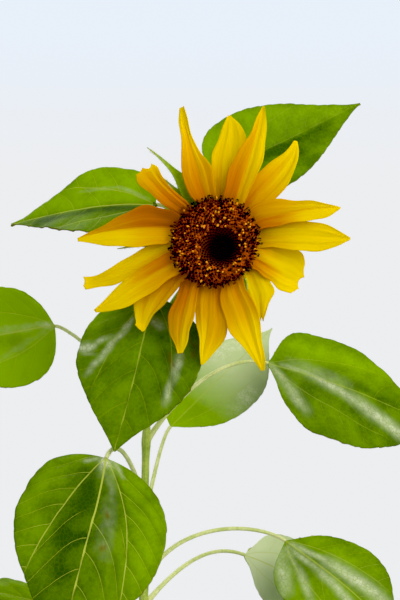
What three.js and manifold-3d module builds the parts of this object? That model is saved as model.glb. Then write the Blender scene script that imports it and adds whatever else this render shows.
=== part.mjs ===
// Sunflower plant: one flowering stem with its leaves, from the cut at the ground to the flower.
// Millimetres, +Z up. The origin is the middle of the flat cut at ground level. The flower looks along -Y.
import * as THREE from "three";
import { mergeVertices } from "three/addons/utils/BufferGeometryUtils.js";
import Module from "manifold-3d";

const wasm = await Module();
wasm.setup();

// Driving sizes
const CLEARANCE = 0.3;
const FOOT_RADIUS = 5.6;
const STEM_RADIUS = 3;
const COLLAR_RADIUS = 2;
const FLARE_HEIGHT = 16;
const STRAIGHT_HEIGHT = 200;
const LEAN_HEIGHT = 300;
const COLLAR_HEIGHT = 385;
const COLLAR_LEAN = 4.5;
const NECK_LEAN = 8;
const NECK_RISE = 40;
const NECK_BEND = 26;
const NECK_TOP_RADIUS = 4.2;
const NECK_SOCKET = 3;

const FLOWER_CENTRE = new THREE.Vector3(42.5, -50, 460);
const FACE_LEFT_DEG = 12;
const FACE_UP_DEG = 12;
const DISC_RADIUS = 24.2;
const DISC_RIM_RISE = 4.5;
const DISC_EYE_RADIUS = 9;
const DISC_EYE_RISE = 0.5;
const CUP_DEPTH = 13;
const CUP_RIM_THICKNESS = 2.6;
const CUP_RIM_HEIGHT = 1;
const CUP_RIM_RADIUS = 27;
const PETAL_RING_RADIUS = 24.9;
const PETAL_THICKNESS = 0.8;

const BLADE_THICKNESS = 1;
const BLADE_EDGE_WAVE = 1.5;
const PETIOLE_FOOT_RADIUS = 1.7;
const PETIOLE_TIP_RADIUS = 1.15;

// Finest differences, in millimetres and in shares of a line
const MERGE_DISTANCE = 1e-4;
const SHARE_TOLERANCE = 1e-6;

// How finely the solids are faceted
const STEM_SIDES = 12;
const STEM_RINGS = 14;
const NECK_RINGS = 10;
const PETIOLE_SIDES = 6;
const PETIOLE_RINGS = 9;
const BLADE_STEPS = 9;
const BLADE_STRIPS = 4;
const PETAL_STEPS = 8;
const PETAL_STRIPS = 2;
const HEAD_SIDES = 32;

// Finishes
const stemGreen = new THREE.MeshStandardMaterial({ color: 0x7d9a34, roughness: 0.6, metalness: 0 });
const petioleGreen = new THREE.MeshStandardMaterial({ color: 0xa9b865, roughness: 0.55, metalness: 0 });
const bladeGreen = new THREE.MeshStandardMaterial({ color: 0x5d8f0e, roughness: 0.45, metalness: 0 });
const cupGreen = new THREE.MeshStandardMaterial({ color: 0x6f9a2c, roughness: 0.6, metalness: 0 });
const rayYellow = new THREE.MeshStandardMaterial({ color: 0xe9b400, roughness: 0.5, metalness: 0 });
const discBrown = new THREE.MeshStandardMaterial({ color: 0x3a1608, roughness: 0.8, metalness: 0 });

const plant = new THREE.Group();
const { degToRad, lerp, smoothstep } = THREE.MathUtils;

function addSolid(name, geometry, material) {
  const solid = new THREE.Mesh(geometry, material);
  solid.name = name;
  plant.add(solid);
}

// A closed mesh as a solid that can be cut, and back again
function toSolid(geometry) {
  const bare = geometry.clone();
  bare.deleteAttribute("normal");
  bare.deleteAttribute("uv");
  const merged = mergeVertices(bare, MERGE_DISTANCE);
  return new wasm.Manifold(
    new wasm.Mesh({
      numProp: 3,
      vertProperties: new Float32Array(merged.getAttribute("position").array),
      triVerts: new Uint32Array(merged.index.array),
    }),
  );
}

function toGeometry(solid) {
  const mesh = solid.getMesh();
  const geometry = new THREE.BufferGeometry();
  geometry.setAttribute("position", new THREE.BufferAttribute(mesh.vertProperties, 3));
  geometry.setIndex(new THREE.BufferAttribute(mesh.triVerts, 1));
  return geometry;
}

// The stem's centre line: upright from the ground, then bending right and forward under the flower
const faceLeft = degToRad(FACE_LEFT_DEG);
const faceUp = degToRad(FACE_UP_DEG);
const flowerAxis = new THREE.Vector3(
  -Math.sin(faceLeft) * Math.cos(faceUp),
  -Math.cos(faceLeft) * Math.cos(faceUp),
  Math.sin(faceUp),
);
const flowerRight = new THREE.Vector3(0, 0, 1).cross(flowerAxis).normalize();
const flowerUp = flowerAxis.clone().cross(flowerRight);

function flowerPoint(right, up, out) {
  return FLOWER_CENTRE.clone()
    .addScaledVector(flowerRight, right)
    .addScaledVector(flowerUp, up)
    .addScaledVector(flowerAxis, out);
}

const collar = new THREE.Vector3(COLLAR_LEAN, 0, COLLAR_HEIGHT);
const neckTop = flowerPoint(0, 0, NECK_SOCKET - CUP_DEPTH);
const mainLine = new THREE.CubicBezierCurve3(
  new THREE.Vector3(0, 0, 0),
  new THREE.Vector3(0, 0, STRAIGHT_HEIGHT),
  new THREE.Vector3(0, 0, LEAN_HEIGHT),
  collar,
);
const neckLine = new THREE.CubicBezierCurve3(
  collar,
  new THREE.Vector3(NECK_LEAN, 0, COLLAR_HEIGHT + NECK_RISE),
  neckTop.clone().addScaledVector(flowerAxis, -NECK_BEND),
  neckTop,
);

// The point of the centre line at a given height, found by halving
function stemCentre(height) {
  const line = height <= COLLAR_HEIGHT ? mainLine : neckLine;
  let low = 0;
  let high = 1;
  while (high - low > SHARE_TOLERANCE) {
    const middle = (low + high) / 2;
    if (line.getPoint(middle).z < height) low = middle;
    else high = middle;
  }
  return line.getPoint(low);
}

// A round limb along a line, its radius given at each share of the way, from share `from` to share `to`
function limb(line, radiusAt, sides, rings, from = 0, to = 1) {
  const geometry = new THREE.CylinderGeometry(1, 1, 1, sides, rings);
  const frames = line.computeFrenetFrames(rings, false);
  const places = geometry.getAttribute("position");
  for (let i = 0; i < places.count; i += 1) {
    const ring = Math.round((places.getY(i) + 0.5) * rings);
    const share = lerp(from, to, ring / rings);
    const radius = radiusAt(share);
    const place = line
      .getPointAt(share)
      .addScaledVector(frames.binormals[ring], places.getX(i) * radius)
      .addScaledVector(frames.normals[ring], places.getZ(i) * radius);
    places.setXYZ(i, place.x, place.y, place.z);
  }
  return geometry;
}

function mainRadius(share) {
  const height = share * COLLAR_HEIGHT;
  const taper = lerp(STEM_RADIUS, COLLAR_RADIUS, share);
  return taper + (FOOT_RADIUS - STEM_RADIUS) * Math.exp(-height / FLARE_HEIGHT);
}

function neckRadius(share) {
  return lerp(COLLAR_RADIUS, NECK_TOP_RADIUS, share ** 3);
}

// The same limb with a clearance all round, as the room that its neighbours are cut clear of
const grown = (radiusAt) => (share) => radiusAt(share) + CLEARANCE;

const neckStart = CLEARANCE / neckLine.getLength();
addSolid("main_stem", limb(mainLine, mainRadius, STEM_SIDES, STEM_RINGS), stemGreen);
addSolid("neck", limb(neckLine, neckRadius, STEM_SIDES, NECK_RINGS, neckStart), stemGreen);

const neckRoom = toSolid(limb(neckLine, grown(neckRadius), STEM_SIDES, NECK_RINGS));
const stemRoom = toSolid(limb(mainLine, grown(mainRadius), STEM_SIDES, STEM_RINGS)).add(neckRoom);

// Leaves. Each row: height of its node on the stem; compass heading of the stalk from there, with 0 to the
// right and 90 away from the viewer; how far the stalk reaches and rises to the blade; where the blade aims and
// how it dips; its length and width; its roll about its own length, arch of the midrib and fold of the halves;
// and, where they differ from the usual, the outline's lobe, widest place, point, shear and skew, and the
// stalk's launch, pull and landing.
const usualLeaf = {
  lobe: -0.03,
  widest: 0.36,
  point: 0.14,
  shear: 0,
  skew: 0,
  launch: 58,
  pull: 0.45,
  land: 0.25,
};
const leaves = {
  upper_left: {
    node: 453, heading: 160, reach: 36.5, rise: 27, aim: 167, dip: 8, length: 88, width: 54,
    roll: 44, arch: 5, fold: -12, widest: 0.28, lobe: 0.02, launch: 50,
  },
  upper_right: {
    node: 442, heading: 81, reach: 59, rise: 58, aim: 26, dip: -23, length: 115, width: 59,
    roll: -62, arch: -3, fold: -8, lobe: 0.05, widest: 0.3,
  },
  mid_left: {
    node: 362, heading: 143, reach: 75, rise: 42, aim: 201, dip: 9, length: 94, width: 71,
    roll: 55, arch: 4, fold: 6, launch: 40, pull: 0.3, land: 0.1,
  },
  under_flower: {
    node: 408, heading: 260, reach: 25, rise: 21.5, aim: 243, dip: 64, length: 91, width: 77,
    roll: 4, arch: 6, fold: 6, widest: 0.4, skew: 0.06, point: 0.28, shear: 0.04,
  },
  front_low: {
    node: 302, heading: 254, reach: 64, rise: 42, aim: 250, dip: 55, length: 110, width: 90,
    roll: 2, arch: 8, fold: 8, lobe: 0, shear: 0.1,
  },
  right_high: {
    node: 340, heading: 31, reach: 87, rise: 40.5, aim: 13, dip: 22.5, length: 132, width: 80,
    roll: -48, arch: 6, fold: 8, lobe: -0.09, shear: -0.04, launch: 51,
  },
  back_pale: {
    node: 294, heading: 79, reach: 73, rise: 41, aim: 28, dip: -38, length: 98, width: 56,
    roll: -58, arch: 4, fold: 6, lobe: -0.1, widest: 0.44, shear: -0.08, launch: 35, pull: 0.3, land: 0.1,
  },
  right_low: {
    node: 254, heading: 19, reach: 92, rise: 17, aim: 340, dip: 37, length: 92, width: 62,
    roll: -45, arch: 8, fold: 10, lobe: -0.08, widest: 0.42, shear: 0.08, launch: 64,
  },
  back_right: {
    node: 240, heading: 42, reach: 84, rise: 14, aim: 7, dip: 30, length: 86, width: 56,
    roll: -50, arch: 6, fold: 8, lobe: -0.12, widest: 0.42, shear: -0.06, launch: 36,
  },
  left_low: {
    node: 208, heading: 209, reach: 51, rise: 38, aim: 210, dip: -3, length: 78, width: 58,
    roll: 30, arch: 6, fold: 8,
  },
  lower_back: {
    node: 172, heading: 84, reach: 74, rise: 24, aim: 80, dip: 38, length: 104, width: 82,
    roll: 6, arch: 9, fold: 8, lobe: 0.01,
  },
  lower_right: {
    node: 158, heading: 322, reach: 80, rise: 26, aim: 326, dip: 40, length: 110, width: 88,
    roll: -6, arch: 9, fold: 8, lobe: 0.01,
  },
  lower_left: {
    node: 136, heading: 158, reach: 80, rise: 24, aim: 152, dip: 36, length: 112, width: 90,
    roll: 5, arch: 10, fold: 8, lobe: 0.02,
  },
  foot_front: {
    node: 120, heading: 262, reach: 72, rise: 26, aim: 256, dip: 42, length: 106, width: 88,
    roll: -4, arch: 9, fold: 8, lobe: 0.02,
  },
  foot_right: {
    node: 92, heading: 22, reach: 76, rise: 24, aim: 28, dip: 36, length: 100, width: 84,
    roll: 8, arch: 9, fold: 8, lobe: 0.03,
  },
  foot_left: {
    node: 90, heading: 202, reach: 74, rise: 24, aim: 208, dip: 34, length: 98, width: 82,
    roll: -6, arch: 9, fold: 8, lobe: 0.03,
  },
};

function compass(headingDeg, dipDeg) {
  const heading = degToRad(headingDeg);
  const dip = degToRad(dipDeg);
  return new THREE.Vector3(
    Math.cos(heading) * Math.cos(dip),
    Math.sin(heading) * Math.cos(dip),
    -Math.sin(dip),
  );
}

// Where the blade begins and the directions it is measured in: along it, across it and out of its upper face
function bladeFrame(leaf) {
  const foot = stemCentre(leaf.node);
  const base = foot.clone().addScaledVector(compass(leaf.heading, 0), leaf.reach);
  base.z += leaf.rise;
  const along = compass(leaf.aim, leaf.dip);
  const level = new THREE.Vector3(0, 0, 1).addScaledVector(along, -along.z).normalize();
  const face = level.applyAxisAngle(along, -degToRad(leaf.roll));
  return { foot, base, along, face, across: face.clone().cross(along) };
}

// Half the outline: how far along and how far out the edge is, as shares, for a share of the way round it.
// It swells from the stalk to the widest place at EDGE_TURN, and then narrows to the tip.
const EDGE_TURN = 0.42;
const STALK_WIDTH = 0.02;
const LOBE_WIDTH = 0.5;
const SHOULDER_BELOW = 0.28;
const SHOULDER_ABOVE = 0.27;
const POINT_START = 0.84;
const TIP_WIDTH = 0.01;

function bezierAt(values, share) {
  const rest = 1 - share;
  const weights = [rest ** 3, 3 * share * rest ** 2, 3 * share ** 2 * rest, share ** 3];
  return values.reduce((sum, value, i) => sum + weights[i] * value, 0);
}

function bladeEdge(leaf, share) {
  const { lobe, widest, point } = leaf;
  if (share < EDGE_TURN) {
    const part = share / EDGE_TURN;
    return [
      bezierAt([0, -lobe, widest - SHOULDER_BELOW, widest], part),
      bezierAt([STALK_WIDTH, LOBE_WIDTH, 1, 1], part),
    ];
  }
  const part = (share - EDGE_TURN) / (1 - EDGE_TURN);
  return [
    bezierAt([widest, widest + SHOULDER_ABOVE, POINT_START, 1], part),
    bezierAt([1, 1, point, TIP_WIDTH], part),
  ];
}

// How the middle of the blade lags behind its edge near the stalk, and how its edge waves
const VEIN_FAN = 1.9;
const WAVE_TURNS = 9;
const WAVE_LEAD = 2.5;

// A point of the blade's middle sheet: share runs from the stalk to the tip, side from -1 to 1 across
function bladePoint(leaf, frame, share, side) {
  const [edgeAlong, edgeOut] = bladeEdge(leaf, share);
  const reach = Math.abs(side);
  const out = side * edgeOut;
  const along = (1 - reach) * share ** VEIN_FAN + reach * edgeAlong + leaf.shear * out;
  const width = (leaf.width / 2) * out * (1 + leaf.skew * Math.sign(side));
  const fold = degToRad(leaf.fold);
  const wave = BLADE_EDGE_WAVE * Math.sin(WAVE_TURNS * along + WAVE_LEAD * Math.sign(side)) * out ** 2;
  const height = leaf.arch * 4 * along * (1 - along) - Math.abs(width) * Math.sin(fold) + wave;
  return frame.base
    .clone()
    .addScaledVector(frame.along, along * leaf.length)
    .addScaledVector(frame.across, width * Math.cos(fold))
    .addScaledVector(frame.face, height);
}

// A thin sheet: a flat box whose long faces are moved on to the sheet that `placeAt` gives
function sheet(steps, strips, thickness, placeAt) {
  const geometry = new THREE.BoxGeometry(1, 1, 1, steps, strips, 1);
  const places = geometry.getAttribute("position");
  for (let i = 0; i < places.count; i += 1) {
    const { place, face } = placeAt(places.getX(i) + 0.5, places.getY(i) * 2);
    place.addScaledVector(face, places.getZ(i) * thickness);
    places.setXYZ(i, place.x, place.y, place.z);
  }
  return geometry;
}

// The stalk's line: up and out of the stem, and over into the blade's midrib
function petioleLine(leaf, frame) {
  const span = frame.base.clone().sub(frame.foot).length();
  const launch = compass(leaf.heading, -leaf.launch);
  const landing = frame.along
    .clone()
    .multiplyScalar(leaf.length)
    .addScaledVector(frame.face, leaf.arch * 4)
    .normalize();
  return new THREE.CubicBezierCurve3(
    frame.foot,
    frame.foot.clone().addScaledVector(launch, span * leaf.pull),
    frame.base.clone().addScaledVector(landing, -span * leaf.land),
    frame.base,
  );
}

function petioleRadius(share) {
  return lerp(PETIOLE_FOOT_RADIUS, PETIOLE_TIP_RADIUS, Math.sqrt(share));
}

for (const [name, values] of Object.entries(leaves)) {
  const leaf = { ...usualLeaf, ...values };
  const frame = bladeFrame(leaf);
  const line = petioleLine(leaf, frame);
  const stop = 1 - CLEARANCE / line.getLength();
  const stalk = toSolid(limb(line, petioleRadius, PETIOLE_SIDES, PETIOLE_RINGS, 0, stop));
  const stalkRoom = toSolid(limb(line, grown(petioleRadius), PETIOLE_SIDES, PETIOLE_RINGS));
  const blade = toSolid(
    sheet(BLADE_STEPS, BLADE_STRIPS, BLADE_THICKNESS, (share, side) => ({
      place: bladePoint(leaf, frame, share, side),
      face: frame.face,
    })),
  );
  addSolid(`petiole_${name}`, toGeometry(stalk.subtract(stemRoom)), petioleGreen);
  addSolid(`leaf_${name}`, toGeometry(blade.subtract(stalkRoom)), bladeGreen);
}

// The flower's round parts, turned about its axis
function turned(profile) {
  const points = profile.map(([radius, out]) => new THREE.Vector2(radius, out));
  const geometry = new THREE.LatheGeometry(points, HEAD_SIDES);
  const places = geometry.getAttribute("position");
  for (let i = 0; i < places.count; i += 1) {
    const place = flowerPoint(places.getX(i), -places.getZ(i), places.getY(i));
    places.setXYZ(i, place.x, place.y, place.z);
  }
  return geometry;
}

// Shares of the cup's rim radius and depth, and of the disc's radius and rise, where their profiles turn
const CUP_HEEL = [0.45, 0.85];
const CUP_FLANK = [0.85, 0.42];
const DISC_EDGE_SHARE = 0.5;
const DISC_CREST_SHARE = 0.88;
const EYE_BROW = [1.6, 0.85];
const EYE_FLOOR_SHARE = 0.7;

const cup = turned([
  [0, -CUP_DEPTH],
  [CUP_HEEL[0] * CUP_RIM_RADIUS, -CUP_HEEL[1] * CUP_DEPTH],
  [CUP_FLANK[0] * CUP_RIM_RADIUS, -CUP_FLANK[1] * CUP_DEPTH],
  [CUP_RIM_RADIUS, -CUP_RIM_THICKNESS - CUP_RIM_HEIGHT],
  [CUP_RIM_RADIUS, -CUP_RIM_THICKNESS],
  [0, -CUP_RIM_THICKNESS],
]);
addSolid("receptacle", toGeometry(toSolid(cup).subtract(neckRoom)), cupGreen);

const discBack = CLEARANCE - CUP_RIM_THICKNESS;
const disc = turned([
  [0, discBack],
  [DISC_RADIUS, discBack],
  [DISC_RADIUS, DISC_EDGE_SHARE * DISC_RIM_RISE],
  [DISC_CREST_SHARE * DISC_RADIUS, DISC_RIM_RISE],
  [EYE_BROW[0] * DISC_EYE_RADIUS, EYE_BROW[1] * DISC_RIM_RISE],
  [EYE_FLOOR_SHARE * DISC_EYE_RADIUS, DISC_EYE_RISE],
  [0, DISC_EYE_RISE],
]);
addSolid("head_disc", disc, discBrown);

// Ray petals. Each row: its place round the rim, anticlockwise from the right; how it turns from there and
// bends along its length; its length and width; how it lifts toward the viewer and curls; and, where they
// differ from the usual, the setting of its base, the hook of its end, taper of its tip, bluntness and fold.
const BACK_ROW = -1.5;
const usualPetal = { turn: 0, bend: 0, hook: 0, setting: 0, taper: 0.2, blunt: 0.04, fold: 10 };
const petals = [
  { at: 103, turn: 3, bend: 6, length: 54, width: 20, lift: 12, curl: -25, hook: -6, taper: 1, fold: 14 },
  { at: 82, turn: 2, bend: 2, length: 46, width: 17, lift: 4, curl: -10, setting: BACK_ROW, hook: 10 },
  { at: 66, turn: 4, bend: 8, length: 53, width: 17, lift: 8, curl: -5, taper: 0.4, fold: 16 },
  { at: 48, length: 46, width: 18, lift: 2, curl: -5, setting: BACK_ROW, hook: 40, taper: 0.5 },
  { at: 27, turn: -10, bend: -16, length: 46, width: 15, lift: 8, curl: -8, taper: 0.1 },
  { at: 6, turn: -3, bend: -7, length: 48, width: 18, lift: 4, curl: -4, setting: BACK_ROW, taper: 0.1 },
  { at: -20.5, turn: -2, bend: -8, length: 29, width: 23, lift: -10, curl: -40, taper: -0.2, blunt: 0.5 },
  {
    at: -42, turn: -27, bend: -12, length: 31, width: 15, lift: -14, curl: -20,
    setting: BACK_ROW, taper: 0, blunt: 0.4,
  },
  { at: -62, turn: -4, bend: -8, length: 50, width: 18, lift: 8, curl: -6, taper: 0.3, fold: 14 },
  { at: -91, bend: -3, length: 42, width: 19, lift: 2, curl: -4, setting: BACK_ROW },
  { at: -117, turn: 12, bend: 20, length: 41, width: 18, lift: 14, curl: 0, taper: 0.1, fold: 20 },
  {
    at: -139, turn: 8, bend: 14, length: 41, width: 20, lift: -2, curl: -20,
    setting: BACK_ROW, taper: 0, blunt: 0.2,
  },
  { at: -153, turn: 4, bend: 4, length: 51, width: 19, lift: 6, curl: -8 },
  {
    at: -171, turn: 19, bend: -8, length: 51, width: 14, lift: 0, curl: -10,
    setting: BACK_ROW, hook: -12, taper: 0.1,
  },
  { at: 163, turn: 14, bend: 20, length: 54, width: 20.5, lift: 6, curl: -8, taper: 0.1, fold: 20 },
  { at: 132, turn: 11, bend: -8, length: 32, width: 15, lift: 24, curl: 0, hook: -20, taper: -0.2, blunt: 0.8 },
];

// Shares along a petal: how wide it starts, how it swells, and where its turn from the rim is done
const PETAL_WALK_STEPS = 40;
const PETAL_TURN_SHARE = 0.15;
const PETAL_BASE_WIDTH = 0.36;
const PETAL_SWELL = 1.08;
const PETAL_SHOULDER = 1.22;

// The petal's middle line, walked outward from the rim in short steps
function petalLine(petal) {
  const at = degToRad(petal.at);
  const place = new THREE.Vector3(
    PETAL_RING_RADIUS * Math.cos(at),
    PETAL_RING_RADIUS * Math.sin(at),
    petal.setting,
  );
  const stations = [];
  for (let i = 0; i <= PETAL_WALK_STEPS; i += 1) {
    const share = i / PETAL_WALK_STEPS;
    const turn = petal.turn * smoothstep(share, 0, PETAL_TURN_SHARE);
    const heading = degToRad(petal.at + turn + petal.bend * share + petal.hook * share ** 4);
    const lift = degToRad(petal.lift + petal.curl * share);
    const along = new THREE.Vector3(
      Math.cos(heading) * Math.cos(lift),
      Math.sin(heading) * Math.cos(lift),
      Math.sin(lift),
    );
    const across = new THREE.Vector3(-Math.sin(heading), Math.cos(heading), 0);
    stations.push({ place: place.clone(), across, face: along.clone().cross(across) });
    place.addScaledVector(along, petal.length / PETAL_WALK_STEPS);
  }
  return stations;
}

function petalPlace(petal, stations, share, side) {
  const station = stations[Math.round(share * PETAL_WALK_STEPS)];
  const outline = [PETAL_BASE_WIDTH, PETAL_SWELL, PETAL_SHOULDER - petal.taper, petal.blunt];
  const width = (petal.width / 2) * bezierAt(outline, share) * side;
  const fold = degToRad(petal.fold);
  const local = station.place
    .clone()
    .addScaledVector(station.across, width * Math.cos(fold))
    .addScaledVector(station.face, Math.abs(width) * Math.sin(fold));
  return {
    place: flowerPoint(local.x, local.y, local.z),
    face: flowerPoint(station.face.x, station.face.y, station.face.z).sub(FLOWER_CENTRE),
  };
}

petals.forEach((values, i) => {
  const petal = { ...usualPetal, ...values };
  const stations = petalLine(petal);
  const geometry = sheet(PETAL_STEPS, PETAL_STRIPS, PETAL_THICKNESS, (share, side) =>
    petalPlace(petal, stations, share, side),
  );
  addSolid(`ray_petal_${i + 1}`, geometry, rayYellow);
});

export default plant;
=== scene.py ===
# %% [markdown]
# # A sunflower plant
# One flowering stem, sixteen leaves on long stalks and one flower. The shape and place of each part come
# from a fixed frame, in metres, with Z up and the flower looking along -Y. This file loads that frame and
# then grows the visible plant over it, part by part: stem, stalks, blades, cup, ray petals and disc florets.

# %% The fixed frame
import math
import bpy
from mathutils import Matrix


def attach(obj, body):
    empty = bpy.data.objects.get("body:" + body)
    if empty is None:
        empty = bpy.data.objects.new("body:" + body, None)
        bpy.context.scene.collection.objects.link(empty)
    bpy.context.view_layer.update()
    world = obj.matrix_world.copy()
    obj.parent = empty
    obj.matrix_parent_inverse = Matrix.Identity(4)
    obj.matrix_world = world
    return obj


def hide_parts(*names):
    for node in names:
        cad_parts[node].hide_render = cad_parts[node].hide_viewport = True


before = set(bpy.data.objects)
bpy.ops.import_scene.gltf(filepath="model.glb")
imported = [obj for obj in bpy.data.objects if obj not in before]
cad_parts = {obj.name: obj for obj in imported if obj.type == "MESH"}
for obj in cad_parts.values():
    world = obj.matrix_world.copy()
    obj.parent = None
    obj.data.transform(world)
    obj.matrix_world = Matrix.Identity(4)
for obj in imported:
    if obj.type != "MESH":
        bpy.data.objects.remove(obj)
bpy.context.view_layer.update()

from types import SimpleNamespace

import bpy
import numpy as np
from mathutils import noise

# %% [markdown]
# ## Camera
# The photograph looks at the flower from a little above it, through a longish lens, five degrees down. The
# camera's place was found by lining up the disc, the petal tips and the leaf tips. Lengths in this file are
# written in millimetres, as a gardener would measure them, and turned into metres where Blender needs them.

# %% Camera
MM = 0.001
CAMERA_PLACE = (34.4, -680.3, 483.7)
CAMERA_LOOKS_DOWN = 5
CAMERA_LENS = 70
CAMERA_SENSOR_WIDTH = 36


def metres(*lengths):
    return tuple(length * MM for length in lengths)


bpy.ops.object.select_all(action="DESELECT")
bpy.ops.object.camera_add(
    location=metres(*CAMERA_PLACE),
    rotation=(math.radians(90 - CAMERA_LOOKS_DOWN), 0, 0),
)
camera = bpy.context.object
camera.name = "camera"
camera.data.lens = CAMERA_LENS
camera.data.sensor_width = CAMERA_SENSOR_WIDTH
bpy.context.scene.camera = camera
print("camera", [round(x, 3) for x in camera.location])

# %% [markdown]
# ## Helpers for nodes
# A material is a small graph. These helpers add a node with its settings, set or link its inputs, and give
# back the output socket, so that a finish reads as a few lines of recipe.

# %% Node helpers


def linear(red, green, blue):
    """A colour given in the everyday 0 to 255 scale, as the linear values that shaders work in."""
    shares = [channel / 255 for channel in (red, green, blue)]
    curve = [s / 12.92 if s <= 0.04045 else ((s + 0.055) / 1.055) ** 2.4 for s in shares]
    return (*curve, 1.0)


def connect(tree, value, socket):
    if isinstance(value, bpy.types.NodeSocket):
        tree.links.new(value, socket)
    else:
        socket.default_value = value


def add_node(tree, kind, settings=None, **inputs):
    made = tree.nodes.new(kind)
    for name, value in (settings or {}).items():
        setattr(made, name, value)
    for name, value in inputs.items():
        connect(tree, value, made.inputs[name.replace("_", " ")])
    return made


def calculate(tree, operation, first, second=0.0, clamp=False):
    made = add_node(tree, "ShaderNodeMath", {"operation": operation, "use_clamp": clamp})
    connect(tree, first, made.inputs[0])
    connect(tree, second, made.inputs[1])
    return made.outputs[0]


def multiply(tree, first, second, clamp=False):
    return calculate(tree, "MULTIPLY", first, second, clamp)


def subtract(tree, first, second):
    return calculate(tree, "SUBTRACT", first, second)


def ease(tree, value, low, high, start=0.0, end=1.0):
    """Goes smoothly from start to end while value goes from low to high."""
    limits = {"From_Min": low, "From_Max": high, "To_Min": start, "To_Max": end}
    smooth_step = {"interpolation_type": "SMOOTHSTEP"}
    return add_node(tree, "ShaderNodeMapRange", smooth_step, Value=value, **limits).outputs["Result"]


def blend_colours(tree, share, first, second):
    """Goes from the first colour to the second. The Mix node's sockets 6 and 7 are its two colours."""
    made = add_node(tree, "ShaderNodeMix", {"data_type": "RGBA"})
    for number, given in ((0, share), (6, first), (7, second)):
        connect(tree, given, made.inputs[number])
    return made.outputs[2]


def mix_shaders(tree, share, first, second):
    made = add_node(tree, "ShaderNodeMixShader")
    for number, given in enumerate((share, first, second)):
        connect(tree, given, made.inputs[number])
    return made.outputs[0]


def attribute(tree, name):
    return add_node(tree, "ShaderNodeAttribute", {"attribute_name": name}).outputs["Fac"]


def object_place(tree):
    return add_node(tree, "ShaderNodeTexCoord").outputs["Object"]


def new_group(name, inputs, outputs):
    """An empty node group with its entry's outputs and its exit's inputs, ready to be linked."""
    group = bpy.data.node_groups.new(name, "ShaderNodeTree")
    for title, value in inputs:
        socket = group.interface.new_socket(title, in_out="INPUT", socket_type="NodeSocketFloat")
        socket.default_value = value
    for title in outputs:
        group.interface.new_socket(title, in_out="OUTPUT", socket_type="NodeSocketFloat")
    entry = group.nodes.new("NodeGroupInput")
    leave = group.nodes.new("NodeGroupOutput")
    return group, entry.outputs, leave.inputs


def use_group(tree, group, **inputs):
    return add_node(tree, "ShaderNodeGroup", {"node_tree": group}, **inputs).outputs


def new_material(name):
    material = bpy.data.materials.new(name)
    material.use_nodes = True
    material.node_tree.nodes.clear()
    return material, material.node_tree


def finish_material(tree, surface):
    connect(tree, surface, add_node(tree, "ShaderNodeOutputMaterial").inputs["Surface"])


# %% [markdown]
# ## Floor, sky and lamps
# The plant stands on a plain pale floor under a soft, bright sky, as on an overcast day. The floor fades into
# the sky's own colour with distance, so no horizon shows. The sky is brighter overhead, which lights the
# leaves from above and lets light through them. A soft lamp on the upper right gives the petals there their
# brighter yellow, and a weak one on the left keeps the shaded side open.

# %% Floor and sky
FLOOR_RADIUS = 40000
FLOOR_SIDES = 96
FLOOR_FADE_NEAR = 150
FLOOR_FADE_FAR = 850
FLOOR_LIFT = 0.22
CAST_SHARE = 0.5
SKY_COLOUR_HEIGHT = 0.16
SKY_FADE_HEIGHTS = (0.2, 0.45)
SKY_OVERHEAD_STRENGTH = 0.8
FLOOR_COLOUR = linear(222, 223, 225)
HORIZON_COLOUR = linear(237, 238, 240)
UPPER_COLOUR = linear(232, 240, 250)


def seen_or_cast(tree, seen, cast):
    """A strength as the camera sees it, and another for the light that it casts on the plant."""
    ray = add_node(tree, "ShaderNodeLightPath").outputs["Is Camera Ray"]
    return calculate(tree, "ADD", cast, multiply(tree, ray, seen - cast))


bpy.ops.object.select_all(action="DESELECT")
bpy.ops.mesh.primitive_circle_add(vertices=FLOOR_SIDES, radius=FLOOR_RADIUS * MM, fill_type="NGON")
floor = bpy.context.object
floor.name = "floor"

floor_finish, tree = new_material("pale_floor")
length_of = {"operation": "LENGTH"}
distance = add_node(tree, "ShaderNodeVectorMath", length_of, Vector=object_place(tree)).outputs["Value"]
paint = add_node(tree, "ShaderNodeBsdfDiffuse", Color=FLOOR_COLOUR)
lifted = seen_or_cast(tree, FLOOR_LIFT, 0.0)
lift = add_node(tree, "ShaderNodeEmission", Color=HORIZON_COLOUR, Strength=lifted)
near = add_node(tree, "ShaderNodeAddShader")
connect(tree, paint.outputs[0], near.inputs[0])
connect(tree, lift.outputs[0], near.inputs[1])
shine = seen_or_cast(tree, 1.0, CAST_SHARE)
far = add_node(tree, "ShaderNodeEmission", Color=HORIZON_COLOUR, Strength=shine).outputs[0]
fade = ease(tree, distance, FLOOR_FADE_NEAR * MM, FLOOR_FADE_FAR * MM)
finish_material(tree, mix_shaders(tree, fade, near.outputs[0], far))
floor.data.materials.append(floor_finish)

world = bpy.data.worlds.new("soft_sky")
bpy.context.scene.world = world
world.use_nodes = True
tree = world.node_tree
tree.nodes.clear()
way = add_node(tree, "ShaderNodeTexCoord").outputs["Generated"]
height = add_node(tree, "ShaderNodeSeparateXYZ", Vector=way).outputs["Z"]
colour = blend_colours(tree, ease(tree, height, 0.0, SKY_COLOUR_HEIGHT), HORIZON_COLOUR, UPPER_COLOUR)
strength = ease(tree, height, *SKY_FADE_HEIGHTS, 1.0, SKY_OVERHEAD_STRENGTH)
strength = multiply(tree, strength, seen_or_cast(tree, 1.0, CAST_SHARE))
sky = add_node(tree, "ShaderNodeBackground", Color=colour, Strength=strength).outputs[0]
connect(tree, sky, add_node(tree, "ShaderNodeOutputWorld").inputs["Surface"])
print("floor and sky:", floor_finish.name, world.name)

# %% Lamps
LAMPS = {
    "key": {"place": (620, -620, 980), "size": 820, "power": 9.3, "colour": (1.0, 0.97, 0.9)},
    "back": {"place": (-260, 760, 1150), "size": 900, "power": 8, "colour": (1.0, 0.98, 0.94)},
    "fill": {"place": (-800, -700, 500), "size": 900, "power": 2.3, "colour": (0.93, 0.96, 1.0)},
}
LAMP_AIM = (20, 0, 380)


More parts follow.
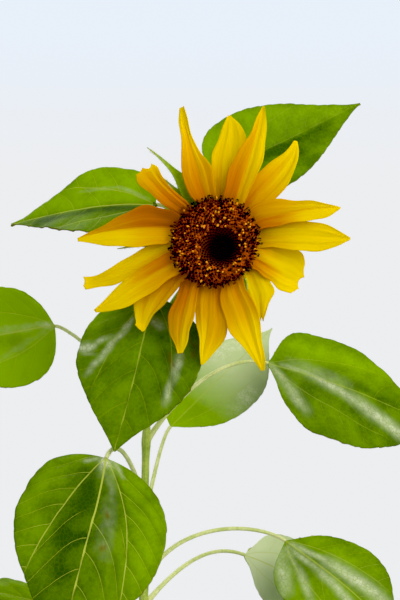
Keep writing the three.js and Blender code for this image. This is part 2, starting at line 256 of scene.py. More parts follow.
def add_lamp(name, place, size, power, colour):
    bpy.ops.object.light_add(type="AREA", location=metres(*place))
    lamp = bpy.context.object
    lamp.name = name
    lamp.data.size = size * MM
    lamp.data.energy = power
    lamp.data.color = colour
    away = np.array(place, float) - np.array(LAMP_AIM, float)
    level = math.hypot(away[0], away[1])
    lamp.rotation_euler = (math.atan2(level, away[2]), 0, math.atan2(away[0], -away[1]))


for name, values in LAMPS.items():
    add_lamp(name, **values)
BLACK_LEVEL = 0.015
view = bpy.context.scene.view_settings
view.view_transform = "Standard"
view.use_curve_mapping = True
view.curve_mapping.black_level = (BLACK_LEVEL, BLACK_LEVEL, BLACK_LEVEL)
view.curve_mapping.update()
print("lamps", ", ".join(LAMPS))

# %% [markdown]
# ## Helpers for shapes
# Leaves, petals, bracts and stalks all start as a flat grid. Its points are read as two shares, one along the
# part and one across it, and each point is moved to where the part's own formula puts it. The grid's faces
# point along its own Z, so a formula that keeps along, across and face right-handed keeps them pointing out.

# %% Shape helpers
MERGE_DISTANCE = 0.01
RIPPLE_SHIFT = np.array([7.1, 3.3, 5.7])


def add_grid(name, steps, strips):
    bpy.ops.object.select_all(action="DESELECT")
    bpy.ops.mesh.primitive_grid_add(x_subdivisions=steps, y_subdivisions=strips, size=1)
    piece = bpy.context.object
    piece.name = name
    piece.data.name = name
    return piece


def points_of(piece):
    flat = np.empty(len(piece.data.vertices) * 3, np.float32)
    piece.data.vertices.foreach_get("co", flat)
    return flat.reshape(-1, 3).astype(float)


def shares_of(piece):
    """For a grid: 0 to 1 along it and -1 to 1 across it, point by point."""
    points = points_of(piece)
    return points[:, 0] + 0.5, points[:, 1] * 2


def move_points(piece, points):
    """Puts a piece's points at the given places, in millimetres."""
    piece.data.vertices.foreach_set("co", (points * MM).astype(np.float32).ravel())
    piece.data.update()


def write_values(piece, name, values):
    layer = piece.data.attributes.new(name, "FLOAT", "POINT")
    full = np.broadcast_to(np.asarray(values, np.float32), len(piece.data.vertices))
    layer.data.foreach_set("value", np.ascontiguousarray(full))


def make_active(piece):
    bpy.ops.object.select_all(action="DESELECT")
    piece.select_set(True)
    bpy.context.view_layer.objects.active = piece


def close_seams(piece, turn_outward=False):
    """Merges the points that fall together, where a grid is rolled up or drawn to a pole."""
    make_active(piece)
    bpy.ops.object.mode_set(mode="EDIT")
    bpy.ops.mesh.select_all(action="SELECT")
    bpy.ops.mesh.remove_doubles(threshold=MERGE_DISTANCE * MM)
    if turn_outward:
        bpy.ops.mesh.select_all(action="SELECT")
        bpy.ops.mesh.normals_make_consistent(inside=False)
    bpy.ops.object.mode_set(mode="OBJECT")


def join(pieces, name):
    """Joins the pieces into the first of them, under a new name."""
    make_active(pieces[0])
    for piece in pieces:
        piece.select_set(True)
    bpy.ops.object.join()
    pieces[0].name = name
    pieces[0].data.name = name
    return pieces[0]


def apply_modifier(piece, kind, **settings):
    make_active(piece)
    modifier = piece.modifiers.new(kind.lower(), kind)
    for name, value in settings.items():
        setattr(modifier, name, value)
    bpy.ops.object.modifier_apply(modifier=modifier.name)


def smooth(piece):
    make_active(piece)
    bpy.ops.object.shade_smooth()


def settle(piece, replaced=()):
    """Puts a finished piece under its body, and hides the frame nodes that it stands for."""
    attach(piece, "root")
    if replaced:
        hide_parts(*replaced)


def unit(vectors):
    return vectors / np.linalg.norm(vectors, axis=-1, keepdims=True)


def cubic(values, share):
    """A cubic Bezier through four numbers or points, at each share of the way."""
    values = np.asarray(values, float)
    share = np.asarray(share, float)
    rest = 1 - share
    weights = [rest**3, 3 * share * rest**2, 3 * share**2 * rest, share**3]
    return sum(np.multiply.outer(weight, value) for weight, value in zip(weights, values))


def smoothstep(value, low, high):
    share = np.clip((np.asarray(value, float) - low) / (high - low), 0, 1)
    return share * share * (3 - 2 * share)


def through(places, values, share):
    """A smooth curve through the given values at the given places, read at each share."""
    places, values = np.array(places, float), np.array(values, float)
    slopes = np.gradient(values, places)
    left = np.clip(np.searchsorted(places, share, side="right") - 1, 0, len(places) - 2)
    gap = places[left + 1] - places[left]
    t = (share - places[left]) / gap
    start = (1 + 2 * t) * (1 - t) ** 2 * values[left] + t * (1 - t) ** 2 * gap * slopes[left]
    end = t**2 * (3 - 2 * t) * values[left + 1] - t**2 * (1 - t) * gap * slopes[left + 1]
    return start + end


def compass(heading, dip=0.0):
    """A direction from its heading, 0 to the right and 90 away from the viewer, and its dip below level."""
    heading, dip = math.radians(heading), math.radians(dip)
    level = math.cos(dip)
    return np.array([math.cos(heading) * level, math.sin(heading) * level, -math.sin(dip)])


def ripple(points, size, seed):
    """Smooth noise between -1 and 1 at each point, with swells of about the given size in millimetres."""
    shift = seed * RIPPLE_SHIFT
    return np.array([noise.noise((point / size + shift).tolist()) for point in points])


# %% [markdown]
# ## A tube along a line
# Stem and stalks are round limbs that follow a curve. The line is sampled evenly by length, and a frame of
# two cross directions is carried along it without twisting. A grid is then rolled round the line. Its first
# and last columns are drawn to the middle, which closes the ends.

# %% Lines and tubes
LINE_SAMPLES = 400


def even_line(points):
    """Evenly spaced points on the curve through the given ones, and its length."""
    steps = np.linalg.norm(np.diff(points, axis=0), axis=1)
    length = np.concatenate([[0], np.cumsum(steps)])
    even = np.linspace(0, length[-1], LINE_SAMPLES)
    return np.stack([np.interp(even, length, points[:, i]) for i in range(3)], 1), length[-1]


def carried_frames(line):
    """Two cross directions at each point of a line, turned only as the line itself turns."""
    along = unit(np.gradient(line, axis=0))
    first = np.zeros_like(along)
    start = np.cross(along[0], [0, 1, 0])
    first[0] = start / np.linalg.norm(start)
    for i in range(1, len(line)):
        carried = first[i - 1] - along[i] * (first[i - 1] @ along[i])
        first[i] = carried / np.linalg.norm(carried)
    return along, first, np.cross(along, first)


def along_line(values, share):
    """Values that are given along a line, read at each share of its length."""
    place = share * (len(values) - 1)
    columns = [np.interp(place, np.arange(len(values)), column) for column in values.T]
    return np.stack(columns, 1)


def ring_way(first, second, angle):
    """The direction out of a line at an angle round it, from its two cross directions."""
    return first * np.cos(angle)[:, None] + second * np.sin(angle)[:, None]


def add_tube(name, line, rings, sides, radius_at):
    """A closed tube. radius_at gives the radius for each share of the length and each angle round it."""
    columns = rings + 2
    piece = add_grid(name, columns, sides)
    column, across = shares_of(piece)
    column = np.round(column * columns)
    share = np.clip((column - 1) / rings, 0, 1)
    angle = across * math.pi
    at_end = (column == 0) | (column == columns)
    radius = np.where(at_end, 0.0, radius_at(share, angle))
    _, first, second = carried_frames(line)
    out = ring_way(along_line(first, share), along_line(second, share), angle)
    move_points(piece, along_line(line, share) + out * radius[:, None])
    close_seams(piece, turn_outward=True)
    smooth(piece)
    return piece


# %% [markdown]
# ## Shared effects
# Living tissue is never one flat colour. Two effects are used by most of the finishes below: mottling, which
# is a slow and a fast noise added together, and grain, a fine noise for the bump of the skin. Both are node
# groups with their own inputs, built once.

# %% Mottling and grain groups
mottling, given, result = new_group(
    "mottling",
    [("Size", 12.0), ("Fine size", 2.5), ("Fine share", 0.35)],
    ["Mask"],
)


def noise_of_size(tree, place, size, detail=3.0):
    """Noise on the surface, with patches of about the given size in millimetres."""
    scale = calculate(tree, "DIVIDE", 1 / MM, size)
    texture = add_node(tree, "ShaderNodeTexNoise", Vector=place, Scale=scale, Detail=detail)
    return texture.outputs["Fac"]


place = object_place(mottling)
share = given["Fine share"]
slow = multiply(mottling, noise_of_size(mottling, place, given["Size"]), subtract(mottling, 1.0, share))
fast = multiply(mottling, noise_of_size(mottling, place, given["Fine size"]), share)
both = calculate(mottling, "ADD", slow, fast)
connect(mottling, ease(mottling, both, 0.3, 0.7), result["Mask"])

grain, given, result = new_group("skin_grain", [("Size", 0.6), ("Stretch", 1.0)], ["Height"])
level = add_node(grain, "ShaderNodeCombineXYZ", X=1.0, Y=1.0, Z=given["Stretch"]).outputs[0]
place = add_node(grain, "ShaderNodeMapping", Vector=object_place(grain), Scale=level).outputs[0]
connect(grain, noise_of_size(grain, place, given["Size"], 4.0), result["Height"])
print("groups", mottling.name, grain.name)

# %% [markdown]
# ## The stem's skin
# The stem is olive green, paler where the light catches its low ribs, and covered in short bristles. The
# stalks share the recipe in a paler, yellower green. Both are matt, with a fine grain.

# %% Stem and stalk finishes
SKIN_BUMP_DISTANCE = 0.3
SKIN_SPECULAR = 0.25


def bump(tree, height, strength, distance=SKIN_BUMP_DISTANCE):
    """A normal from a height, with the depth of the relief in millimetres."""
    made = add_node(tree, "ShaderNodeBump", Height=height, Strength=strength, Distance=distance * MM)
    return made.outputs[0]


def principled(tree, colour, roughness, specular, normal=None):
    """The main shader, with the few inputs that the plant's finishes set."""
    shader = add_node(tree, "ShaderNodeBsdfPrincipled", Base_Color=colour, Roughness=roughness)
    shader.inputs["Specular IOR Level"].default_value = specular
    if normal is not None:
        connect(tree, normal, shader.inputs["Normal"])
    return shader.outputs[0]


def mottled(tree, first, second, size, fine_size, fine_share):
    """Two colours in slow and fine patches."""
    mask = use_group(tree, mottling, Size=size, Fine_size=fine_size, Fine_share=fine_share)["Mask"]
    return blend_colours(tree, mask, first, second)


def skin_finish(name, pale, deep, roughness, relief):
    material, tree = new_material(name)
    colour = mottled(tree, deep, pale, 9.0, 1.6, 0.4)
    height = use_group(tree, grain, Size=0.7, Stretch=0.25)["Height"]
    finish_material(tree, principled(tree, colour, roughness, SKIN_SPECULAR, bump(tree, height, relief)))
    return material


def plain_finish(name, colour, roughness, specular=0.15):
    """One colour, for small shapes that are copied hundreds of times."""
    material, tree = new_material(name)
    finish_material(tree, principled(tree, colour, roughness, specular))
    return material


stem_skin = skin_finish("stem_skin", linear(190, 206, 96), linear(140, 166, 56), 0.5, 0.35)
stalk_skin = skin_finish("stalk_skin", linear(220, 224, 156), linear(182, 196, 108), 0.5, 0.3)
bristle_skin = plain_finish("bristle_skin", linear(214, 222, 176), 0.5)
print("finishes", stem_skin.name, stalk_skin.name, bristle_skin.name)

# %% [markdown]
# ## The stem
# The stem rises from a flat cut at ground level, flares a little at its foot, tapers, and bends right and
# forward under the flower, where it thickens again. These are the same driving sizes as in the frame. The
# visible stem adds low ribs and a swelling at each leaf's node, and it runs in one piece up into the cup.

# %% Stem sizes and line
FOOT_RADIUS = 5.6
STEM_RADIUS = 3
COLLAR_RADIUS = 2
FLARE_HEIGHT = 16
STEM_GUIDE_HEIGHTS = (200, 300)
COLLAR_SHIFT = 4.5
COLLAR_HEIGHT = 385
NECK_GUIDE = (8, 0, COLLAR_HEIGHT + 40)
NECK_BEND = 26
NECK_TOP_RADIUS = 4.2
CUP_DEPTH = 13
NECK_SOCKET = 3

FLOWER_CENTRE = np.array([42.5, -50, 460.0])
FACE_LEFT = 12
FACE_UP = 12
flower_axis = compass(-90 - FACE_LEFT, -FACE_UP)
flower_right = unit(np.cross([0, 0, 1], flower_axis))
flower_up = np.cross(flower_axis, flower_right)


def flower_way(right, up, out):
    """Directions given as shares to the flower's right, up and out of its face."""
    spread = np.multiply.outer(right, flower_right) + np.multiply.outer(up, flower_up)
    return spread + np.multiply.outer(out, flower_axis)


def flower_point(right, up, out):
    """Points measured from the flower's centre: to its right, up and out of its face."""
    return FLOWER_CENTRE + flower_way(right, up, out)


collar = np.array([COLLAR_SHIFT, 0, COLLAR_HEIGHT])
neck_top = flower_point(0, 0, NECK_SOCKET - CUP_DEPTH)
every_share = np.linspace(0, 1, LINE_SAMPLES)
main_curve = cubic([(0, 0, 0), *((0, 0, height) for height in STEM_GUIDE_HEIGHTS), collar], every_share)
neck_curve = cubic([collar, NECK_GUIDE, neck_top - flower_axis * NECK_BEND, neck_top], every_share)
main_line, main_length = even_line(main_curve)
neck_line, _ = even_line(neck_curve)
stem_line, stem_length = even_line(np.concatenate([main_line, neck_line[1:]]))
collar_share = main_length / stem_length


def stem_centre(height):
    """The middle of the stem at a height above the ground."""
    return np.array([np.interp(height, stem_line[:, 2], stem_line[:, i]) for i in range(3)])


print("stem", round(stem_length), "mm long")

# %% [markdown]
# ## The leaves' sizes
# Each leaf has its node's height on the stem, the compass heading of its stalk, how far the stalk reaches and
# rises, where the blade aims and dips, its length and width, and how it rolls, arches and folds. These match
# the frame's leaves. The last entries belong to the looks: how bright each half of the blade is, which is
# partly the leaf's own green and partly painted light and shade for how the half faces the light; how strong
# its veins, its pale wash of painted sheen and its relief are; and its own marks. A mark is a soft stroke
# across the blade: its kind, its two ends, each as millimetres along and across, its half width and its
# strength. Sheen marks are painted highlights, reflections of the sky. Dark and bright marks are painted
# shade and painted light where the blade folds and curves, with some darker or lighter green of its own.
# "rust" places small specks.

# %% Leaf table
USUAL_LEAF = {
    "lobe": -0.03,
    "widest": 0.36,
    "point": 0.14,
    "shear": 0,
    "skew": 0,
    "launch": 58,
    "pull": 0.45,
    "land": 0.25,
    "tones": (0.43, 0.43),
    "veins": 0.6,
    "haze": (0, 0),
    "relief": 1.0,
    "bow": 0,
    "marks": (),
    "rust": (),
}
LEAVES = {
    "upper_left": {
        "node": 453, "heading": 160, "reach": 36.5, "rise": 27, "aim": 167, "dip": 8, "length": 88,
        "width": 54, "roll": 44, "arch": 5, "fold": -12, "widest": 0.28, "lobe": 0.02, "launch": 50,
        "tones": (0.77, 0.36), "relief": 0.35,
        "marks": [
            ("bright", (0, -6), (30, -9), 10, 0.2),
            ("dark", (3, 3), (36, 4), 4, 0.5),
            ("dark", (36, 4), (70, 5), 3.5, 0.35),
            ("painted_sheen", (4, -4), (22, -13), 1.2, 0.3),
            ("painted_sheen", (22, -13), (45, -12), 1.2, 0.2),
        ],
    },
    "upper_right": {
        "node": 442, "heading": 81, "reach": 59, "rise": 58, "aim": 26, "dip": -23, "length": 115,
        "width": 59, "roll": -62, "arch": -3, "fold": -8, "lobe": 0.05, "widest": 0.3,
        "tones": (0.26, 0.43), "veins": 0.1, "relief": 0.3,
        "marks": [
            ("dark", (34, -4), (60, -4), 3.5, 0.5),
            ("dark", (60, -4), (88, -3), 3, 0.3),
            ("dark", (40, -12), (80, -10), 4, 0.25),
            ("bright", (10, 14), (70, 14), 12, 0.15),
        ],
    },
    "mid_left": {
        "node": 362, "heading": 143, "reach": 75, "rise": 42, "aim": 201, "dip": 9, "length": 94,
        "width": 71, "roll": 55, "arch": 4, "fold": 6, "launch": 40, "pull": 0.3, "land": 0.1,
        "tones": (1.05, 1.0), "veins": 0.5, "relief": 0.6,
        "marks": [
            ("painted_sheen", (1, 0), (10, -2), 2.5, 0.5),
            ("painted_sheen", (6, -1), (50, -4), 3, 0.2),
            ("painted_sheen", (3, 1), (40, 16), 2.4, 0.12),
            ("dark", (24, 6), (60, 8), 4, 0.2),
            ("bright", (10, -14), (50, -18), 8, 0.2),
        ],
    },
    "under_flower": {
        "node": 408, "heading": 260, "reach": 25, "rise": 21.5, "aim": 243, "dip": 64, "length": 91,
        "width": 77, "roll": 4, "arch": 6, "fold": 6, "widest": 0.4, "skew": 0.06, "point": 0.28,
        "shear": 0.04, "tones": (0.42, 0.2), "veins": 0.4, "bow": 5, "relief": 0.8,
        "rust": [(20, 28), (24, 33), (29, 33), (22.5, 30), (34, 18.5), (37, 19.2), (42, 21.2), (39, 22)],
        "marks": [
            ("painted_sheen", (39, -36), (36, -27), 2.4, 0.95),
            ("painted_sheen", (36, -28), (30, -16.5), 1.8, 0.55),
            ("painted_sheen", (54, -26), (40, -18), 1.9, 0.5),
            ("painted_sheen", (42, -19), (31, -12.5), 2.0, 0.8),
            ("painted_sheen", (31, -13), (17, -6), 2.0, 0.55),
            ("painted_sheen", (41, -34), (42, -24), 1.4, 0.3),
            ("painted_sheen", (14, 3), (18, 12), 3.2, 0.35),
            ("painted_sheen", (33, 27.5), (47, 27), 2.4, 0.55),
            ("painted_sheen", (46, 26), (60, 25), 2.0, 0.5),
            ("bright", (48, 34), (66, 23), 4, 0.3),
            ("bright", (12, -27), (30, -35), 6, 0.4),
        ],
    },
    "front_low": {
        "node": 302, "heading": 254, "reach": 64, "rise": 42, "aim": 250, "dip": 55, "length": 110,
        "width": 90, "roll": 2, "arch": 8, "fold": 8, "lobe": 0, "shear": 0.1, "tones": (0.4, 0.47),
        "veins": 1.0, "bow": 4.5,
        "rust": [(31, 6.5), (32.5, 7.4), (50, 9), (48, 10), (49.5, 10.4)],
        "marks": [
            ("painted_sheen", (8, 6), (24, 11), 2.4, 0.22),
            ("painted_sheen", (22, 10), (52, 14), 4.5, 0.16),
            ("painted_sheen", (0, 0), (6, 1), 4, 0.75),
            ("painted_sheen", (1, -2), (5, -12), 1.6, 0.5),
            ("painted_sheen", (1, 4), (7, 12), 1.6, 0.5),
            ("dark", (14, -4), (80, -8), 11, 0.4),
            ("dark", (24, 10), (80, 8), 9, 0.28),
            ("dark", (12, -3), (26, -5), 3, 0.2),
            ("bright", (16, -32), (60, -35), 8, 0.14),
            ("bright", (20, 34), (60, 34), 7, 0.3),
        ],
    },
    "right_high": {
        "node": 340, "heading": 31, "reach": 87, "rise": 40.5, "aim": 13, "dip": 22.5, "length": 132,
        "width": 80, "roll": -48, "arch": 6, "fold": 8, "lobe": -0.09, "shear": -0.04, "launch": 51,
        "tones": (0.33, 0.42), "veins": 0.25, "relief": 0.3,
        "marks": [
            ("painted_sheen", (9, 2.4), (30, 1), 2, 0.45),
            ("painted_sheen", (26, 1.2), (60, -7), 3.2, 0.65),
            ("painted_sheen", (56, -5.5), (112, -22), 4.2, 0.75),
            ("painted_sheen", (18, 5), (52, 3), 6, 0.22),
            ("painted_sheen", (2, -1), (13, -11), 3, 0.5),
            ("painted_sheen", (10, -9), (25, -24), 3.5, 0.5),
            ("bright", (20, 22), (88, 27), 8, 0.3),
            ("dark", (24, -8), (90, -24), 5, 0.15),
            ("dark", (46, 6), (94, 2), 4, 0.3),
        ],
    },
    "back_pale": {
        "node": 294, "heading": 79, "reach": 73, "rise": 41, "aim": 28, "dip": -38, "length": 98,
        "width": 56, "roll": -58, "arch": 4, "fold": 6, "lobe": -0.1, "widest": 0.44, "shear": -0.08,
        "launch": 35, "pull": 0.3, "land": 0.1, "tones": (1.0, 1.1), "haze": (-0.25, 0.68),
        "veins": 0.3, "relief": 0.2,
        "marks": [
            ("painted_sheen", (44, 17), (94, 3), 9, 1.0),
            # This mark paints light over the soft shadow that the right_high blade casts here.
            ("painted_sheen", (36, -23), (60, -20), 10, 0.9),
        ],
    },
    "right_low": {
        "node": 254, "heading": 19, "reach": 92, "rise": 17, "aim": 340, "dip": 37, "length": 92,
        "width": 62, "roll": -45, "arch": 8, "fold": 10, "lobe": -0.08, "widest": 0.42, "shear": 0.08,
        "launch": 64, "tones": (0.5, 0.5), "veins": 0.4, "relief": 0.35,
        "marks": [
            ("painted_sheen", (4, 0.5), (28, 6), 2.2, 0.6),
            ("painted_sheen", (26, 5.5), (70, 12), 4.5, 0.75),
            ("painted_sheen", (4, -2), (28, -3), 1.8, 0.6),
            ("painted_sheen", (26, -3), (64, -7), 2.6, 0.65),
            ("painted_sheen", (3, -4), (18, -9), 1.6, 0.5),
            ("painted_sheen", (18, -9), (40, -21), 2.2, 0.5),
            ("painted_sheen", (3, -8), (26, -26), 4, 0.6),
            ("dark", (16, 1.5), (60, 3), 2.5, 0.3),
            ("bright", (16, 14), (60, 22), 6, 0.15),
        ],
    },
    "back_right": {
        "node": 240, "heading": 42, "reach": 84, "rise": 14, "aim": 7, "dip": 30, "length": 86,
        "width": 56, "roll": -50, "arch": 6, "fold": 8, "lobe": -0.12, "widest": 0.42, "shear": -0.06,
        "launch": 36, "tones": (0.9, 0.9), "haze": (0.85, 0.5), "veins": 0.4, "relief": 0.35,
        "marks": [
            ("painted_sheen", (0, 0), (26, -12), 6, 0.7),
            ("painted_sheen", (2, 2), (46, 4), 5, 0.65),
        ],
    },
    "left_low": {
        "node": 208, "heading": 209, "reach": 51, "rise": 38, "aim": 210, "dip": -3, "length": 78,
        "width": 58, "roll": 30, "arch": 6, "fold": 8, "tones": (0.8, 0.8),
    },
    "lower_back": {
        "node": 172, "heading": 84, "reach": 74, "rise": 24, "aim": 80, "dip": 38, "length": 104,
        "width": 82, "roll": 6, "arch": 9, "fold": 8, "lobe": 0.01,
    },
    "lower_right": {
        "node": 158, "heading": 322, "reach": 80, "rise": 26, "aim": 326, "dip": 40, "length": 110,
        "width": 88, "roll": -6, "arch": 9, "fold": 8, "lobe": 0.01,
    },
    "lower_left": {
        "node": 136, "heading": 158, "reach": 80, "rise": 24, "aim": 152, "dip": 36, "length": 112,
        "width": 90, "roll": 5, "arch": 10, "fold": 8, "lobe": 0.02,
    },
    "foot_front": {
        "node": 120, "heading": 262, "reach": 72, "rise": 26, "aim": 256, "dip": 42, "length": 106,
        "width": 88, "roll": -4, "arch": 9, "fold": 8, "lobe": 0.02, "tones": (0.34, 0.34),
    },
    "foot_right": {
        "node": 92, "heading": 22, "reach": 76, "rise": 24, "aim": 28, "dip": 36, "length": 100,
        "width": 84, "roll": 8, "arch": 9, "fold": 8, "lobe": 0.03, "tones": (0.26, 0.3),
    },
    "foot_left": {
        "node": 90, "heading": 202, "reach": 74, "rise": 24, "aim": 208, "dip": 34, "length": 98,
        "width": 82, "roll": -6, "arch": 9, "fold": 8, "lobe": 0.03, "tones": (0.3, 0.26),
    },
}
leaves = {name: SimpleNamespace(**{**USUAL_LEAF, **values}) for name, values in LEAVES.items()}
print("leaves", len(leaves))

# %% [markdown]
# ## Growing the stem
# The radius is the frame's own, with nine low ribs that turn slowly round the stem and a soft swelling at
# each node, where a leaf's stalk leaves it.

# %% Stem
STEM_RINGS = 360
STEM_SIDES = 48
RIB_COUNT = 9
RIB_SHARE = 0.05
RIB_TWIST = 1.2
NODE_SWELLING = 0.55
NODE_LENGTH = 6


def stem_radius(share, angle):
    height = share * stem_length
    main = share / collar_share
    taper = STEM_RADIUS + (COLLAR_RADIUS - STEM_RADIUS) * main
    foot = (FOOT_RADIUS - STEM_RADIUS) * np.exp(-height / FLARE_HEIGHT)
    above = np.clip((share - collar_share) / (1 - collar_share), 0, 1)
    neck = COLLAR_RADIUS + (NECK_TOP_RADIUS - COLLAR_RADIUS) * above**3
    radius = np.where(share < collar_share, taper + foot, neck)
    ribs = 1 + RIB_SHARE * np.cos(RIB_COUNT * angle + RIB_TWIST * share * 2 * math.pi)
    place = along_line(stem_line, np.atleast_1d(share))[:, 2]
    for leaf in leaves.values():
        radius = radius + NODE_SWELLING * np.exp(-(((place - leaf.node) / NODE_LENGTH) ** 2))
    return radius * ribs


stem = add_tube("stem", stem_line, STEM_RINGS, STEM_SIDES, stem_radius)
stem.data.materials.append(stem_skin)
settle(stem, ["main_stem", "neck"])
print("stem", len(stem.data.polygons), "faces")

# %% [markdown]
# ## Veins
# A sunflower leaf has a midrib and two strong side veins that leave it at the stalk and run up the blade in
# an arch. Lesser veins branch outward from these toward the edge, and from the midrib higher up, and curve
# toward the tip. The same few numbers place the veins in the mesh, where they are furrows above and ribs
# below, and in the finish, where they are pale lines. The finish reads three smooth values that each point
# of the blade carries: how far along it is, how far across, and how far out the side vein runs there.

# %% Vein sizes and distances
SIDE_VEIN_SHARE = 0.7
SIDE_VEIN_RISE = 0.32
SIDE_VEIN_END = (0.56, 0.74)
OUTER_SPACING = 12.5
OUTER_SLOPE = 0.3
OUTER_CURVE = 0.024
INNER_SPACING = 17.0
INNER_SLOPE = 0.4
INNER_CURVE = 0.035
INNER_GROWTH = (0.29, 0.35)
BRANCH_CHANGE = 1.5
STAGGER = 0.27
BRANCH_LEAN = 0.85


def nearest_line(place, spacing):
    share = place / spacing
    return np.abs(share - np.floor(share) - 0.5) * spacing * BRANCH_LEAN


def vein_distances(along, across, side_vein, share):
    """Distances in millimetres to the midrib, side veins and nearest branch, and where branches grow."""
    reach = np.abs(across)
    beyond = np.maximum(reach - side_vein, 0)
    lead = np.sign(across) * STAGGER
    outer = along - OUTER_SLOPE * beyond - OUTER_CURVE * beyond**2 + lead * OUTER_SPACING
    inner = along - INNER_SLOPE * reach - INNER_CURVE * reach**2 + lead * INNER_SPACING
    is_outer = smoothstep(reach - side_vein, 0, BRANCH_CHANGE)
    branch = np.where(
        is_outer > 0.5, nearest_line(outer, OUTER_SPACING), nearest_line(inner, INNER_SPACING)
    )
    grows = np.maximum(is_outer, smoothstep(share, *INNER_GROWTH))
    return reach, np.abs(reach - side_vein) * BRANCH_LEAN, branch, grows


# %% The same veins as a node group
MIDRIB_HALF = 0.56
SIDE_HALF = 0.36
BRANCH_HALF = 0.18
LINE_EDGE = (0.55, 1.35)
VEIN_TIP_SHARE = 0.5
OUTER_FADE = 22.0
OUTER_FADE_SHARE = 0.45
BRANCH_STRENGTH = 0.9
NETWORK_SIZE = 2.6
NETWORK_EDGE = (0.02, 0.12)

venation, given, result = new_group(
    "venation",
    [("Along", 0.0), ("Across", 0.0), ("Side vein", 0.0), ("Share", 0.0)],
    ["Midrib", "Veins", "Network"],
)


def node_line(tree, distance, half_width):
    """1 on the line and 0 beside it, with a soft edge."""
    inner, outer = (multiply(tree, half_width, share) for share in LINE_EDGE)
    return ease(tree, distance, inner, outer, 1.0, 0.0)


def node_branches(tree, along, sideways, side, slope, curve, spacing, half_width):
    """The lines of branches that leave their vein at a slope and curve toward the tip."""
    bend = multiply(tree, multiply(tree, sideways, sideways), curve)
    back = subtract(tree, subtract(tree, along, multiply(tree, sideways, slope)), bend)
    place = calculate(tree, "ADD", back, multiply(tree, side, STAGGER * spacing))
    part = calculate(tree, "FRACT", calculate(tree, "DIVIDE", place, spacing))
    away = calculate(tree, "ABSOLUTE", subtract(tree, part, 0.5))
    return node_line(tree, multiply(tree, away, spacing * BRANCH_LEAN), half_width)


along, across, share = given["Along"], given["Across"], given["Share"]
reach = calculate(venation, "ABSOLUTE", across)
side = calculate(venation, "SIGN", across)
offset = subtract(venation, reach, given["Side vein"])
beyond = calculate(venation, "MAXIMUM", offset, 0.0)
thinning = ease(venation, share, 0.0, 1.0, 1.0, VEIN_TIP_SHARE)
midrib = node_line(venation, reach, multiply(venation, thinning, MIDRIB_HALF))
side_away = multiply(venation, calculate(venation, "ABSOLUTE", offset), BRANCH_LEAN)
side_line = node_line(venation, side_away, multiply(venation, thinning, SIDE_HALF))
side_line = multiply(venation, side_line, ease(venation, share, *SIDE_VEIN_END, 1.0, 0.0))
is_outer = ease(venation, offset, 0.0, 0.4)
outer_half = multiply(venation, ease(venation, beyond, 0.0, OUTER_FADE, 1.0, OUTER_FADE_SHARE), BRANCH_HALF)
outer = node_branches(
    venation, along, beyond, side, OUTER_SLOPE, OUTER_CURVE, OUTER_SPACING, outer_half
)
outer = multiply(venation, outer, is_outer)
inner = node_branches(
    venation, along, reach, side, INNER_SLOPE, INNER_CURVE, INNER_SPACING, BRANCH_HALF
)
inner = multiply(venation, inner, subtract(venation, 1.0, is_outer))
inner = multiply(venation, inner, ease(venation, share, *INNER_GROWTH))
branches = multiply(venation, calculate(venation, "MAXIMUM", outer, inner), BRANCH_STRENGTH)
strong = calculate(venation, "MAXIMUM", midrib, side_line)
connect(venation, midrib, result["Midrib"])
connect(venation, calculate(venation, "MAXIMUM", strong, branches), result["Veins"])
blade_place = add_node(venation, "ShaderNodeCombineXYZ", X=along, Y=across).outputs[0]
edges = {"feature": "DISTANCE_TO_EDGE", "voronoi_dimensions": "2D"}
cells = add_node(venation, "ShaderNodeTexVoronoi", edges, Vector=blade_place, Scale=1 / NETWORK_SIZE)
connect(venation, ease(venation, cells.outputs["Distance"], *NETWORK_EDGE, 1.0, 0.0), result["Network"])
print("group", venation.name)

# %% [markdown]
# ## The blades' finish
# The upper face is bright green and softly glossy, and lets light through, so a thin Translucent shader is
# mixed in. Veins are pale yellow green, and a fine network lies between them. The under face is paler and
# duller. The cut edge is thin and purplish brown, like the real margin. A whitish colour is mixed into both
# faces as painted sheen: a pale wash and strokes that stand for the sky's reflection, weaker below.

# %% Blade finishes
BLADE_BRIGHT = linear(156, 198, 0)
BLADE_DEEP = linear(60, 95, 0)
PAINTED_SHEEN_COLOUR = linear(240, 246, 206)
VEIN_COLOUR = linear(204, 214, 90)
UNDER_BRIGHT = linear(138, 172, 52)
UNDER_DEEP = linear(92, 130, 28)
SHONE_THROUGH = linear(160, 196, 0)
RUST = linear(126, 84, 8)
BLADE_GLOW = 0.25
BLADE_SPECULAR = 0.09
BLADE_BUMP_DISTANCE = 0.25
TONE_SHIFT = 0.13
SHEEN_BREAKS = (0.75, 1.1)
NETWORK_TINT = 0.08
NETWORK_DENT = 0.4
MIDRIB_BOOST = 0.55


def let_light_through(tree, face, colour, share):
    """Mixes in some of a Translucent shader, for a thin part that glows with the sky behind it."""
    lit = add_node(tree, "ShaderNodeBsdfTranslucent", Color=colour).outputs[0]
    return mix_shaders(tree, share, face, lit)


